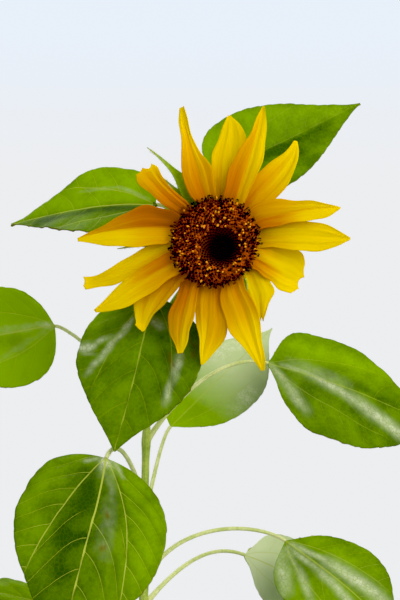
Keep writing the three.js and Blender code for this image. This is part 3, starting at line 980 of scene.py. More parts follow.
def blade_finish(name, bright, deep, roughness, vein_strength, relief, painted_sheen_share):
    material, tree = new_material(name)
    veins = use_group(
        tree,
        venation,
        Along=attribute(tree, "vein_along"),
        Across=attribute(tree, "vein_across"),
        Side_vein=attribute(tree, "vein_side"),
        Share=attribute(tree, "vein_share"),
    )
    dent = multiply(tree, veins["Network"], NETWORK_DENT)
    mask = use_group(tree, mottling, Size=14.0, Fine_size=2.2, Fine_share=0.3)["Mask"]
    shift = ease(tree, mask, 0.0, 1.0, -TONE_SHIFT, TONE_SHIFT)
    # The tone attribute holds the leaf's own green with painted light and shade from its halves, marks,
    # pillows and swells.
    tone_and_painted_light = calculate(tree, "ADD", attribute(tree, "tone_and_painted_light"), shift, clamp=True)
    colour = blend_colours(tree, tone_and_painted_light, deep, bright)
    colour = blend_colours(tree, multiply(tree, veins["Network"], NETWORK_TINT), colour, VEIN_COLOUR)
    # Painted sheen: the pale wash and the sheen strokes mix a whitish colour in as reflections of the sky, in
    # patches.
    patches = use_group(tree, mottling, Size=4.0, Fine_size=1.2, Fine_share=0.3)["Mask"]
    breaks = subtract(tree, ease(tree, patches, 0.0, 1.0, *SHEEN_BREAKS), dent)
    painted_sheen = multiply(tree, attribute(tree, "painted_sheen"), breaks)
    pale = calculate(tree, "MAXIMUM", attribute(tree, "haze"), painted_sheen)
    colour = blend_colours(tree, multiply(tree, pale, painted_sheen_share, clamp=True), colour, PAINTED_SHEEN_COLOUR)
    lines = calculate(tree, "ADD", veins["Veins"], multiply(tree, veins["Midrib"], MIDRIB_BOOST))
    lines = multiply(tree, lines, attribute(tree, "vein_strength"))
    colour = blend_colours(tree, multiply(tree, lines, vein_strength, clamp=True), colour, VEIN_COLOUR)
    colour = blend_colours(tree, attribute(tree, "rust"), colour, RUST)
    height = subtract(tree, use_group(tree, grain, Size=0.9, Stretch=1.0)["Height"], dent)
    normal = bump(tree, height, relief, BLADE_BUMP_DISTANCE)
    face = principled(tree, colour, roughness, BLADE_SPECULAR, normal)
    glow_colour = blend_colours(tree, 0.5, colour, SHONE_THROUGH)
    finish_material(tree, let_light_through(tree, face, glow_colour, BLADE_GLOW))
    return material


blade_top = blade_finish(
    "blade_top", BLADE_BRIGHT, BLADE_DEEP, roughness=0.46, vein_strength=0.85, relief=0.22, painted_sheen_share=1.0
)
blade_under = blade_finish(
    "blade_under", UNDER_BRIGHT, UNDER_DEEP, roughness=0.6, vein_strength=0.9, relief=0.3, painted_sheen_share=0.35
)
blade_edge_skin, tree = new_material("blade_edge")
colour = mottled(tree, linear(96, 84, 30), linear(132, 128, 48), 9.0, 1.6, 0.4)
near_stalk = ease(tree, attribute(tree, "vein_share"), 0.04, 0.16, 1.0, 0.0)
colour = blend_colours(tree, near_stalk, colour, linear(178, 194, 96))
finish_material(tree, principled(tree, colour, 0.5, 0.15))
print("finishes", blade_top.name, blade_under.name, blade_edge_skin.name)

# %% [markdown]
# ## Building a blade
# A blade's grid is laid out by its half outline: a swelling curve from the stalk to the widest place, and a
# narrowing one from there to the tip. Lines across the grid fan out as the veins do. The mesh adds what the
# plain frame blade lacks: fine teeth, a ruffled edge, furrows over the veins and soft pillows between them.
# A Solidify modifier then gives the leaf its real thickness, more of it along the veins, which leaves ribs
# on the under side.

# %% Blade shape
EDGE_TURN = 0.42
STALK_WIDTH = 0.02
LOBE_WIDTH = 0.5
SHOULDER_BELOW = 0.28
SHOULDER_ABOVE = 0.27
POINT_START = 0.84
TIP_WIDTH = 0.01
VEIN_FAN = 1.9
EDGE_WAVE = 1.5
WAVE_TURNS = 9
WAVE_LEAD = 2.5


def blade_frame(leaf):
    """Where a leaf's stalk starts, where its blade starts, and the blade's own three directions."""
    foot = stem_centre(leaf.node)
    base = foot + compass(leaf.heading) * leaf.reach + np.array([0, 0, leaf.rise])
    along = compass(leaf.aim, leaf.dip)
    level = unit(np.array([0, 0, 1.0]) - along[2] * along)
    roll = math.radians(leaf.roll)
    face = level * math.cos(roll) + np.cross(level, along) * math.sin(roll)
    return SimpleNamespace(foot=foot, base=base, along=along, face=face, across=np.cross(face, along))


def blade_edge(leaf, share):
    """How far along and how far out the blade's edge is, from the stalk at 0 round to the tip at 1."""
    near = np.clip(share / EDGE_TURN, 0, 1)
    far = np.clip((share - EDGE_TURN) / (1 - EDGE_TURN), 0, 1)
    near_along = cubic([0, -leaf.lobe, leaf.widest - SHOULDER_BELOW, leaf.widest], near)
    far_along = cubic([leaf.widest, leaf.widest + SHOULDER_ABOVE, POINT_START, 1], far)
    near_out = cubic([STALK_WIDTH, LOBE_WIDTH, 1, 1], near)
    far_out = cubic([1, 1, leaf.point, TIP_WIDTH], far)
    lower = share < EDGE_TURN
    return np.where(lower, near_along, far_along), np.where(lower, near_out, far_out)


def side_vein_at(along_share):
    """How far out the side vein runs, as a share of half the width."""
    return SIDE_VEIN_SHARE * (1 - np.exp(-np.maximum(along_share, 0) / SIDE_VEIN_RISE))


def stroke(along, across, start, end, half_width):
    """1 on the line between two places on the blade, fading out beside it."""
    way = np.array(end, float) - start
    spot = np.stack([along, across], 1) - start
    run = np.clip(spot @ way / (way @ way), 0, 1)
    away = np.linalg.norm(spot - run[:, None] * way, axis=1)
    return np.exp(-((away / half_width) ** 2)) * (0.55 + 0.45 * np.sin(math.pi * run))


def marks_on(leaf, along, across):
    """The painted light and shade, and the painted sheen, that a leaf's own marks add at each point of its
    blade.
    """
    tone_and_painted_light, haze = np.zeros_like(along), np.zeros_like(along)
    for kind, start, end, half_width, strength in leaf.marks:
        mask = stroke(along, across, start, end, half_width) * strength
        if kind == "painted_sheen":
            haze = np.maximum(haze, mask)
        else:
            tone_and_painted_light = tone_and_painted_light + (mask if kind == "bright" else -mask)
    return tone_and_painted_light, haze


# %% Furrows, pillows and specks
MIDRIB_FURROW = (1.2, 1.9)
SIDE_FURROW = (0.9, 1.6)
BRANCH_FURROW = (0.55, 1.3)
FURROW_DEPTH = 0.7
FURROW_END = 1.1
PILLOW = 0.7
PILLOW_HALF = 5
PILLOW_EDGE = 0.25
RUST_SIZE = 1.1
RUST_STRENGTH = 0.7


def groove(distance, depth_and_half):
    depth, half = depth_and_half
    return depth * np.exp(-((distance / half) ** 2))


def furrows_and_pillows(midrib, side_line, branch, grows, straight, reach):
    """How deep the veins' furrows are, and how high the leaf swells between them."""
    strong = groove(midrib, MIDRIB_FURROW) + groove(side_line, SIDE_FURROW)
    furrow = strong * np.clip(FURROW_END - straight, 0, 1) + grows * groove(branch, BRANCH_FURROW)
    pillow = grows * np.clip(branch / PILLOW_HALF, 0, 1) ** 0.7
    return furrow, pillow * smoothstep(1 - reach, 0, PILLOW_EDGE)


def rust_specks(leaf, along, across):
    """A few small rusty spots, where the leaf's own list puts them."""
    mask = np.zeros_like(along)
    for number, (x, y) in enumerate(leaf.rust):
        size = RUST_SIZE * (0.7 + 0.3 * (number % 3))
        mask = np.maximum(mask, np.exp(-((along - x) ** 2 + (across - y) ** 2) / size**2))
    return mask * RUST_STRENGTH


print("furrows", MIDRIB_FURROW[0] * FURROW_DEPTH, "mm deep at most")

# %% Points of a blade
TOOTH_SPACING = 6.5
TOOTH_DEPTH = 0.7
TOOTH_PEAK = 0.75
TOOTH_CURVE = 1.5
TOOTH_SHIFT = 0.37
TOOTHED_WIDTHS = (0.1, 0.4)
EDGE_LENGTH = 1.2
RUFFLE = 1.8
RUFFLE_SIZE = 13
RUFFLE_SEED = 40
SWELL = 1.6
SWELL_SIZE = 30
SWELL_SEED = 80
VEIN_WANDER = 3.4
VEIN_WANDER_SIZE = 26
MARK_WANDER = 2.2
MARK_WANDER_SIZE = 8
MARK_SEEDS = (120, 160)
SHEEN_BREAKUP = 0.9
SHEEN_BREAKUP_SIZE = 3.6
SHEEN_BREAKUP_SEED = 200
SHEEN_BREAKUP_LIMITS = (0.2, 1.3)
FLAT_START = 0.1
FOLD_HALF = 3
TONE_START = -0.03
# The blade is painted lighter where its pillows and swells rise: painted light on the raised places.
PILLOW_PAINTED_LIGHT = 0.09
SWELL_PAINTED_LIGHT = 0.15
PAINTED_SHEEN_PLACES = (0.1, 0.55)


def blade_points(leaf, spot, share, side, seed):
    """The blade's points, and the values that its finish reads."""
    edge_along, edge_out = blade_edge(leaf, share)
    reach = np.abs(side)
    round_edge = np.sign(side) * share * leaf.length * EDGE_LENGTH
    tooth = np.abs((round_edge / TOOTH_SPACING + seed * TOOTH_SHIFT) % 1 - TOOTH_PEAK) ** TOOTH_CURVE
    tooth = TOOTH_DEPTH * tooth * smoothstep(edge_out, *TOOTHED_WIDTHS) * reach**10
    toothed = edge_out * leaf.width / 2 - tooth
    out = side * edge_out
    straight = (1 - reach) * share**VEIN_FAN + reach * edge_along
    along = straight + leaf.shear * out
    uneven_halves = 1 + leaf.skew * np.sign(side)
    half = leaf.width / 2 * uneven_halves
    width = side * toothed * uneven_halves
    flat = np.stack([straight * leaf.length, out * leaf.width / 2, np.zeros_like(out)], 1)

    vein_along = flat[:, 0] + VEIN_WANDER * ripple(flat, VEIN_WANDER_SIZE, seed)
    side_vein = side_vein_at(straight) * half
    mid, side_line, branch, grows = vein_distances(vein_along, width, side_vein, straight)
    furrow, pillow = furrows_and_pillows(mid, side_line, branch, grows, straight, reach)

    bow = leaf.bow * 4 * straight * np.clip(1 - straight, 0, 1) * (1 - reach**2)
    # Marks: sheen strokes are painted reflections, bright and dark ones painted light and shade; noise breaks
    # the sheen.
    wander = MARK_WANDER * leaf.relief
    drift = [wander * ripple(flat, MARK_WANDER_SIZE, seed + shift) for shift in MARK_SEEDS]
    mark_light_and_shade, mark_painted_sheen = marks_on(leaf, flat[:, 0] + drift[0], width + bow + drift[1])
    sheen_breakup = 1 + SHEEN_BREAKUP * leaf.relief * ripple(flat, SHEEN_BREAKUP_SIZE, seed + SHEEN_BREAKUP_SEED)

    wave = EDGE_WAVE * np.sin(WAVE_TURNS * along + WAVE_LEAD * np.sign(side)) * out**2
    ruffle = RUFFLE * ripple(flat, RUFFLE_SIZE, seed + RUFFLE_SEED) * reach**2
    swell = ripple(flat, SWELL_SIZE, seed + SWELL_SEED)
    fold = math.radians(leaf.fold)
    uneven = ruffle + leaf.relief * (PILLOW * pillow - FURROW_DEPTH * furrow) + SWELL * swell
    height = leaf.arch * 4 * along * (1 - along) - np.abs(width) * math.sin(fold) + wave
    height = height + uneven * smoothstep(straight, 0, FLAT_START)
    points = (
        spot.base
        + np.multiply.outer(along * leaf.length, spot.along)
        + np.multiply.outer((width + bow) * math.cos(fold), spot.across)
        + np.multiply.outer(height, spot.face)
    )
    # The halves' tones are partly the leaf's own green and partly painted light and shade for how each half
    # faces the light.
    lean = smoothstep(width, -FOLD_HALF, FOLD_HALF)
    tone_and_painted_light = leaf.tones[0] * (1 - lean) + leaf.tones[1] * lean
    values = {
        "vein_along": vein_along,
        "vein_across": width,
        "vein_side": side_vein,
        "vein_share": straight,
        "vein_strength": np.full(len(share), leaf.veins),
        "tone_and_painted_light": tone_and_painted_light + PILLOW_PAINTED_LIGHT * pillow + TONE_START + SWELL_PAINTED_LIGHT * swell + mark_light_and_shade,
        "haze": np.interp(straight, PAINTED_SHEEN_PLACES, leaf.haze),
        "painted_sheen": mark_painted_sheen * np.clip(sheen_breakup, *SHEEN_BREAKUP_LIMITS),
        "rust": rust_specks(leaf, vein_along, width),
    }
    return points, values, np.clip(furrow, 0, 1)


# %% Blades
BLADE_CELL = 1.15
BLADE_CELL_LENGTH = 1.0
BLADE_THICKNESS = 0.42
RIB_THICKNESS = 1.5
RIB_LEVELS = 10


def add_blade(name, leaf, seed):
    steps = round(leaf.length / BLADE_CELL_LENGTH)
    strips = round(leaf.width / BLADE_CELL / 2) * 2
    piece = add_grid(f"blade_{name}", steps, strips)
    share, side = shares_of(piece)
    points, values, furrow = blade_points(leaf, blade_frame(leaf), share, side, seed)
    move_points(piece, points)
    for title, value in values.items():
        write_values(piece, title, value)
    rib = piece.vertex_groups.new(name="rib")
    for level in range(1, RIB_LEVELS + 1):
        chosen = np.nonzero(np.round(furrow * RIB_LEVELS) == level)[0]
        rib.add(chosen.tolist(), level / RIB_LEVELS, "REPLACE")
    for finish in (blade_top, blade_under, blade_edge_skin):
        piece.data.materials.append(finish)
    apply_modifier(
        piece,
        "SOLIDIFY",
        thickness=RIB_THICKNESS * MM,
        offset=-1,
        vertex_group="rib",
        thickness_vertex_group=BLADE_THICKNESS / RIB_THICKNESS,
        material_offset=1,
        material_offset_rim=2,
    )
    smooth(piece)
    settle(piece, [f"leaf_{name}"])
    return piece


blade_faces = 0
for seed, (name, leaf) in enumerate(leaves.items(), start=1):
    blade_faces += len(add_blade(name, leaf, seed).data.polygons)
print("blades", len(leaves), "with", blade_faces, "faces")

# %% [markdown]
# ## Leaf stalks
# A stalk leaves the stem at its node, arches over, and lands in the blade's midrib. It is round below and
# has a shallow channel along its upper side, and it widens where it grips the stem.

# %% Stalks
STALK_FOOT_RADIUS = 1.7
STALK_TIP_RADIUS = 1.15
STALK_GRIP = 0.9
STALK_GRIP_LENGTH = 5
STALK_RIB_COUNT = 7
STALK_RIB_SHARE = 0.03
STALK_RING_SPACING = 1.6
STALK_SIDES = 20
CHANNEL_DEPTH = 0.28
CHANNEL_HALF_ANGLE = 0.5
CHANNEL_START = 0.3


def stalk_curve(leaf):
    spot = blade_frame(leaf)
    span = np.linalg.norm(spot.base - spot.foot)
    launch = compass(leaf.heading, -leaf.launch)
    landing = unit(spot.along * leaf.length + spot.face * leaf.arch * 4)
    points = [
        spot.foot,
        spot.foot + launch * span * leaf.pull,
        spot.base - landing * span * leaf.land,
        spot.base,
    ]
    return cubic(points, every_share)


def stalk_radius(length):
    def radius(share, angle):
        taper = STALK_FOOT_RADIUS + (STALK_TIP_RADIUS - STALK_FOOT_RADIUS) * np.sqrt(share)
        grip = STALK_GRIP * np.exp(-share * length / STALK_GRIP_LENGTH)
        from_top = (np.abs(angle) - math.pi) / CHANNEL_HALF_ANGLE
        channel = CHANNEL_DEPTH * np.exp(-(from_top**2)) * smoothstep(share, 0, CHANNEL_START)
        ribs = 1 + STALK_RIB_SHARE * np.cos(STALK_RIB_COUNT * angle)
        return (taper + grip) * (1 - channel) * ribs

    return radius


stalk_lines = {name: even_line(stalk_curve(leaf)) for name, leaf in leaves.items()}
for name, (line, length) in stalk_lines.items():
    rings = round(length / STALK_RING_SPACING)
    stalk = add_tube(f"stalk_{name}", line, rings, STALK_SIDES, stalk_radius(length))
    stalk.data.materials.append(stalk_skin)
    settle(stalk, [f"petiole_{name}"])
print("stalks", len(leaves))

# %% [markdown]
# ## The flower's ray petals
# Sixteen petals stand round the disc. Each one starts broad at the rim, swells and comes to a point or a
# blunt, toothed end. A petal's middle line is walked outward in short steps, turning and lifting as the real
# one does. Its two halves have their own widths, seven on each side from foot to tip, in millimetres, because
# no real petal is even. The halves fold up a little along the middle, each by its own angle. A pair of values
# says how yellow each half is: partly the petal's own colour and partly painted light and shade for how the
# half faces the lamp. "shade" makes it darker and oranger toward the disc, partly the petal's own orange foot
# and partly a painted shade where neighbouring petals and the disc shadow it. "roll" curls the tip up.

# %% Petal table
BACK_ROW = -1.5
PETAL_SOCKET = 2.6
PETAL_PLACES = (0, 0.12, 0.3, 0.5, 0.7, 0.87, 1)
USUAL_PETAL = {
    "turn": 0,
    "bend": 0,
    "hook": 0,
    "setting": 0,
    "folds": (10, 10),
    "roll": 0,
    "twist": 0,
    "flare": 1.5,
    "notch": 0,
    "teeth": 5.2,
    "glow": (0.5, 0.5),
    "shade": (0.1, 0.1),
}
PETALS = [
    {"at": 103, "turn": 3, "bend": 6, "length": 54, "lift": 12, "curl": -25, "hook": -6, "folds": (14, 18),
     "plus": (3.5, 7.5, 9.5, 6.6, 4.1, 3.3, 1.6), "minus": (3.5, 5.6, 7.2, 3.4, 1.4, 1.8, 1.2),
     "glow": (0.05, 0.45), "shade": (0.1, 0)},
    {"at": 82, "turn": 2, "bend": 2, "length": 47, "lift": 4, "curl": -10, "setting": BACK_ROW, "hook": 18,
     "plus": (4, 6.5, 8.6, 9.4, 7.2, 4.4, 1.2), "minus": (4, 7, 8.6, 9, 8.8, 5.2, 0.6),
     "notch": 0.02, "glow": (0.6, 0.9), "shade": (-0.2, 0.1), "folds": (4, 8)},
    {"at": 66, "turn": 4, "bend": 8, "length": 53, "lift": 8, "curl": -5, "folds": (24, 12),
     "plus": (4, 6.5, 8.1, 6.8, 2.9, 2.0, 0.6), "minus": (3.5, 5, 7, 7.6, 5.7, 3.4, 0.4),
     "glow": (-0.2, 0.85), "shade": (0.05, 0)},
    {"at": 48, "length": 46, "lift": 2, "curl": -5, "setting": BACK_ROW, "hook": 40,
     "plus": (3.5, 6, 8, 8.6, 6.6, 3.6, 1.0), "minus": (3.5, 5.6, 7.8, 8, 6, 3.2, 0.6),
     "glow": (0.2, 0.5), "shade": (0.1, 0.05)},
    {"at": 27, "turn": -10, "bend": -16, "length": 46, "lift": 8, "curl": -8, "folds": (8, 26),
     "plus": (4.5, 8.3, 8.8, 6.2, 4.3, 1.8, 0.3), "minus": (3.8, 5, 6.5, 6, 6.3, 5.0, 0.6),
     "glow": (0.4, 0.6), "shade": (0.05, 0.6)},
    {"at": 6, "turn": -3, "bend": -7, "length": 48, "lift": 4, "curl": -4, "setting": -1, "folds": (6, 4),
     "plus": (4, 8, 8.2, 8.4, 7.3, 3.8, 0.5), "minus": (3.5, 5, 6.5, 7.8, 7.3, 4.5, 0.4),
     "glow": (1.1, 1.0), "shade": (0.1, 0.1)},
    {"at": -20.5, "turn": -2, "bend": -8, "length": 28.5, "lift": -5, "curl": -34,
     "notch": 0.08, "teeth": 2.4, "folds": (-6, 10),
     "plus": (7, 11.5, 13.5, 14.6, 14, 10.5, 5), "minus": (4, 5.5, 7, 8, 9.2, 8, 5.8),
     "glow": (0.9, 0.5), "shade": (0.1, 0.4)},
    {"at": -42, "turn": -27, "bend": -12, "length": 27.3, "lift": -3, "curl": -16, "setting": BACK_ROW,
     "plus": (4.5, 8.5, 10.2, 10.8, 6.5, 3.4, 2.0), "minus": (4, 6.5, 7.6, 6.6, 4.6, 3.2, 2.4), "notch": 0.1,
     "folds": (-2, 4), "glow": (1.1, 1.4), "shade": (0.1, 0)},
    {"at": -62, "turn": -4, "bend": -8, "length": 50, "lift": 5, "curl": -6, "folds": (16, 3),
     "plus": (3.5, 4, 6, 6.4, 3.8, 3.2, 1.0), "minus": (4.5, 9.5, 11.3, 11.3, 7.1, 3.2, 0.6),
     "glow": (0.7, 0.4), "shade": (0.3, 0.1), "twist": -10},
    {"at": -91, "bend": -7, "length": 42, "lift": 5, "curl": -4, "setting": -0.9,
     "plus": (4, 6.4, 8.6, 10.8, 8.8, 4.2, 0.5), "minus": (4, 7.5, 8.6, 6.8, 3.6, 2.2, 1.0),
     "folds": (0, 6), "glow": (0.0, 0.42), "shade": (0, 0.1)},
    {"at": -117, "turn": 12, "bend": 20, "length": 41, "lift": 14, "curl": 0, "folds": (14, -16),
     "plus": (3.5, 4.5, 5.5, 6.7, 5.5, 4.8, 2.0), "minus": (4.5, 5.8, 6.8, 9, 7.4, 3, 0.5),
     "glow": (0.1, -0.45), "shade": (0.1, 0), "twist": 10},
    {"at": -139, "turn": 8, "bend": 14, "length": 41, "lift": 1, "curl": -20, "setting": BACK_ROW,
     "plus": (3.5, 4.5, 5, 4.4, 2, 1.8, 1.8), "minus": (5, 10, 13, 14.8, 10.5, 5.4, 3.6),
     "glow": (0.2, 0.15), "shade": (0.1, 0.1), "roll": 110},
    {"at": -153, "turn": 4, "bend": 4, "length": 51, "lift": 6, "curl": -8, "folds": (14, 8),
     "plus": (5, 7, 8.5, 9.2, 8.4, 5.2, 1.0), "minus": (4.5, 5.7, 5.7, 5.5, 4.3, 1.8, 0.3),
     "glow": (0.5, 0.5), "shade": (0.1, 0.5)},
    {"at": -171, "turn": 19, "bend": -8, "length": 54, "lift": 0, "curl": -10,
     "setting": BACK_ROW, "hook": -12,
     "plus": (4, 5.6, 5.6, 5.4, 5.4, 4.0, 3.8), "minus": (3.5, 5.2, 6.8, 5.6, 3.8, 2.8, 3.6),
     "glow": (0.7, 1.2), "shade": (0.1, 0), "roll": 30, "notch": 0.02, "teeth": 2, "folds": (6, 2)},
    {"at": 163, "turn": 14, "bend": 20, "length": 54, "lift": 6, "curl": -8, "folds": (14, 35),
     "plus": (6, 9, 11, 10.6, 8.2, 4.8, 1.5), "minus": (5.5, 8.5, 10.5, 7.2, 3.0, 1.4, 0.4),
     "glow": (0.8, -0.5), "shade": (0.2, 0)},
    {"at": 132, "turn": 11, "bend": -8, "length": 32, "lift": 24, "curl": 0, "hook": -20, "folds": (4, 2),
     "plus": (4.5, 5.8, 6.6, 7, 7.6, 8.6, 7), "minus": (2.5, 3.2, 3, 3.2, 3.8, 5.2, 4.2),
     "notch": 0.06, "flare": 0, "teeth": 3, "glow": (-0.6, -0.3), "shade": (0.1, 0.1)},
]
petals = [SimpleNamespace(**{**USUAL_PETAL, **values}) for values in PETALS]
for petal in petals:
    petal.length += PETAL_SOCKET
print("petals", len(petals))

# %% [markdown]
# ## The petals' finish
# Orange at the foot, golden in the middle and clear yellow toward the tip, with fine lengthwise streaks. The
# streaks follow the petal, so they are made on its own UV map, far longer than they are wide. Light shines
# through a petal, which warms the side turned away from the lamp.

# %% Petal finish
FACE_COLOURS = (linear(180, 104, 0), linear(218, 133, 0), linear(236, 178, 0), linear(252, 224, 0))
BACK_COLOURS = (linear(140, 104, 8), linear(186, 130, 8), linear(216, 166, 8), linear(236, 200, 14))
COLOUR_CHANGES = ((-0.3, 0.12), (0.05, 0.5), (0.4, 1.0))
STREAK_SCALE = (2.2, 26.0, 1.0)
STREAK_STRENGTH = 0.16
RIDGE_SCALE = (1.5, 44.0, 1.0)
PETAL_RELIEF = 0.3
PETAL_SPECULAR = 0.08
PETAL_GLOW = 0.3


def lengthwise(tree, scale, detail):
    """Noise on the petal's own map, drawn out along it."""
    place = add_node(tree, "ShaderNodeUVMap", {"uv_map": "UVMap"}).outputs[0]
    place = add_node(tree, "ShaderNodeMapping", Vector=place, Scale=scale).outputs[0]
    return add_node(tree, "ShaderNodeTexNoise", Vector=place, Scale=1.0, Detail=detail).outputs["Fac"]


def petal_finish(name, colours, roughness):
    """The colours, from the foot to the tip, each take over from the last along the petal."""
    material, tree = new_material(name)
    streak = ease(tree, lengthwise(tree, STREAK_SCALE, 4.0), 0.3, 0.7, -STREAK_STRENGTH, STREAK_STRENGTH)
    # The tone attribute carries each half's painted light and shade, the painted shade toward the disc and
    # painted light on the pleats.
    tone_and_painted_light = calculate(tree, "ADD", attribute(tree, "tone_and_painted_light"), streak)
    reached = calculate(tree, "ADD", attribute(tree, "petal_share"), multiply(tree, tone_and_painted_light, 0.5))
    colour = colours[0]
    for change, following in zip(COLOUR_CHANGES, colours[1:]):
        colour = blend_colours(tree, ease(tree, reached, *change), colour, following)
    normal = bump(tree, lengthwise(tree, RIDGE_SCALE, 2.0), PETAL_RELIEF)
    face = principled(tree, colour, roughness, PETAL_SPECULAR, normal)
    finish_material(tree, let_light_through(tree, face, colour, PETAL_GLOW))
    return material


petal_face = petal_finish("petal_face", FACE_COLOURS, roughness=0.5)
petal_back = petal_finish("petal_back", BACK_COLOURS, roughness=0.6)
print("finishes", petal_face.name, petal_back.name)

# %% A line walked outward
WALK_STEPS = 80
TURN_SHARE = 0.15
ROLL_START = 0.84


def walked_line(shape, ring_radius):
    """A middle line walked outward from a ring round the flower, with its across and face directions."""
    share = np.linspace(0, 1, WALK_STEPS + 1)
    turn = shape.turn * smoothstep(share, 0, TURN_SHARE)
    heading = np.radians(shape.at + turn + shape.bend * share + shape.hook * share**4)
    lift = np.radians(shape.lift + shape.curl * share + shape.roll * smoothstep(share, ROLL_START, 1))
    level = np.cos(lift)
    along = np.stack([np.cos(heading) * level, np.sin(heading) * level, np.sin(lift)], 1)
    across = np.stack([-np.sin(heading), np.cos(heading), np.zeros_like(share)], 1)
    face = np.cross(along, across)
    twist = np.radians(shape.twist * share**2)
    at = math.radians(shape.at)
    start = np.array([ring_radius * math.cos(at), ring_radius * math.sin(at), shape.setting])
    walked = np.concatenate([[np.zeros(3)], np.cumsum(along[:-1], 0)]) * shape.length / WALK_STEPS
    return start + walked, along, ring_way(across, face, twist), ring_way(face, -across, twist)


def walked_at(shape, ring_radius, share):
    """The walked line's place, and its directions along, across and out of its face, at each share."""
    return [along_line(values, share) for values in walked_line(shape, ring_radius)]


print("a petal's line has", WALK_STEPS, "steps")

# %% Petals
PETAL_RING_RADIUS = 24.9
PETAL_STEPS = 60
PETAL_STRIPS = 34
PETAL_THICKNESS = 0.3
HALVES_MEET = 0.12
FLARE_END = (0.02, 0.2)
EDGE_UNEVEN = 0.03
EDGE_TURNS = 19
FLUTING = 0.05
FLUTING_TURNS = 6
COARSE_PLEAT = 0.26
COARSE_TURNS = 2.6
FINE_PLEAT = 0.08
FINE_TURNS = 7
PETAL_WAVE = 0.8
PETAL_WAVE_TURNS = 8
WAVE_PLACES = (0.15, 0.5)
TEETH_START = 0.86
SHADE_END = (0.3, 0.65)
SHADE_STRENGTH = 1.2
PLEAT_PAINTED_LIGHT = 0.08


def add_petal(number, petal):
    piece = add_grid(f"petal_{number}", PETAL_STEPS, PETAL_STRIPS)
    share, side = shares_of(piece)
    middle, forward, sideways, outward = walked_at(petal, PETAL_RING_RADIUS - PETAL_SOCKET, share)
    phase = np.random.default_rng(number).uniform(0, 2 * math.pi, 5)

    def of_side(pair):
        lean = smoothstep(side, -HALVES_MEET, HALVES_MEET)
        return pair[0] * lean + pair[1] * (1 - lean)

    plus, minus = (through(PETAL_PLACES, widths, share) for widths in (petal.plus, petal.minus))
    spread = np.where(side > 0, plus, minus) + petal.flare * (1 - smoothstep(share, *FLARE_END))
    uneven = np.sin(EDGE_TURNS * share + phase[0] + 2 * np.sign(side)) * np.abs(side) ** 3
    width = spread * side * (1 + EDGE_UNEVEN * uneven)
    fluting = math.pi * (side + FLUTING * np.sin(FLUTING_TURNS * share + phase[1]))
    pleats = COARSE_PLEAT * np.cos(COARSE_TURNS * fluting + phase[2])
    pleats = pleats + FINE_PLEAT * np.cos(FINE_TURNS * fluting + phase[3])
    pleats = pleats * smoothstep(share, 0, 0.15) * smoothstep(1 - share, 0, 0.25) * (1 - side**4)
    wave = PETAL_WAVE * np.sin(PETAL_WAVE_TURNS * share + phase[4] + 1.3 * np.sign(side)) * side**2
    wave = wave * smoothstep(share, *WAVE_PLACES)
    height = np.abs(width) * np.tan(np.radians(of_side(petal.folds))) + pleats + wave
    teeth = np.abs(np.sin(side * petal.teeth + phase[3])) ** 0.7 * smoothstep(share, TEETH_START, 1)
    local = middle + sideways * width[:, None] + outward * height[:, None]
    local = local - forward * (petal.notch * petal.length * teeth)[:, None]
    move_points(piece, flower_point(*local.T))
    # The tone below paints shade toward the disc, and paints the pleats lighter on their crests and darker in
    # their hollows.
    shade = SHADE_STRENGTH * of_side(petal.shade) * (1 - smoothstep(share, *SHADE_END))
    write_values(piece, "petal_share", share)
    write_values(piece, "tone_and_painted_light", of_side(petal.glow) - shade + PLEAT_PAINTED_LIGHT * pleats / COARSE_PLEAT)
    piece.data.materials.append(petal_face)
    piece.data.materials.append(petal_back)
    apply_modifier(piece, "SOLIDIFY", thickness=PETAL_THICKNESS * MM, offset=-1, material_offset=1)
    smooth(piece)
    settle(piece, [f"ray_petal_{number}"])
    return piece


petal_faces = sum(len(add_petal(i, petal).data.polygons) for i, petal in enumerate(petals, start=1))
print("petals", len(petals), "with", petal_faces, "faces")

# %% [markdown]
# ## The cup and the disc's bed
# Behind the petals a green cup holds the flower, and in front of them the florets stand on a low, ring-shaped
# bed that sinks to an eye near its middle. Both are turned shapes: a profile is read along a grid, and the
# grid is rolled round the flower's axis. A Screw modifier could turn them too, but the rolled grid lets the
# eye sit a little off centre, as it does on the real flower.

# %% Cup and bed
DISC_RADIUS = 22.9
DISC_BACK = -2.9
EYE_SHIFT = (3.9, -3.3)
EYE_RADIUS = 11.2
EYE_FLOOR = 1.2
EYE_DARKNESS = (5.6, 12.0)
CREST_RISE = 2.9
CREST_SLOPE = (4, 16)
RIM_FALL = 2.5
RIM_SLOPE = (19, 23)
BED_DEPTH = 0.3
BED_RIM = (0.8, 0.9)
CUP_PROFILE = [
    (0, -13), (7, -12.6), (14, -10.6), (21, -7), (25.5, -4.4), (26.6, -3.2), (25.8, -2.7), (0, -2.7),
]

cup_skin = skin_finish("cup_skin", linear(128, 158, 48), linear(84, 122, 24), 0.55, 0.3)
bed_skin, tree = new_material("bed_skin")
bed_brown = mottled(tree, linear(96, 48, 22), linear(140, 72, 30), 3.0, 0.8, 0.5)
from_eye = ease(tree, attribute(tree, "from_eye"), *EYE_DARKNESS)
colour = blend_colours(tree, from_eye, linear(46, 31, 25), bed_brown)
finish_material(tree, principled(tree, colour, 0.8, 0.1))


def disc_rise(radius):
    crest = CREST_RISE * smoothstep(radius, *CREST_SLOPE)
    return EYE_FLOOR + crest - RIM_FALL * smoothstep(radius, *RIM_SLOPE)


def disc_place(radius, angle):
    """Right, up and out from the flower's centre, for a point of the disc's face."""
    inward = np.clip((DISC_RADIUS - radius) / (DISC_RADIUS - EYE_RADIUS), 0, 1)
    right = radius * np.cos(angle) + EYE_SHIFT[0] * inward
    up = radius * np.sin(angle) + EYE_SHIFT[1] * inward
    return right, up, disc_rise(radius)


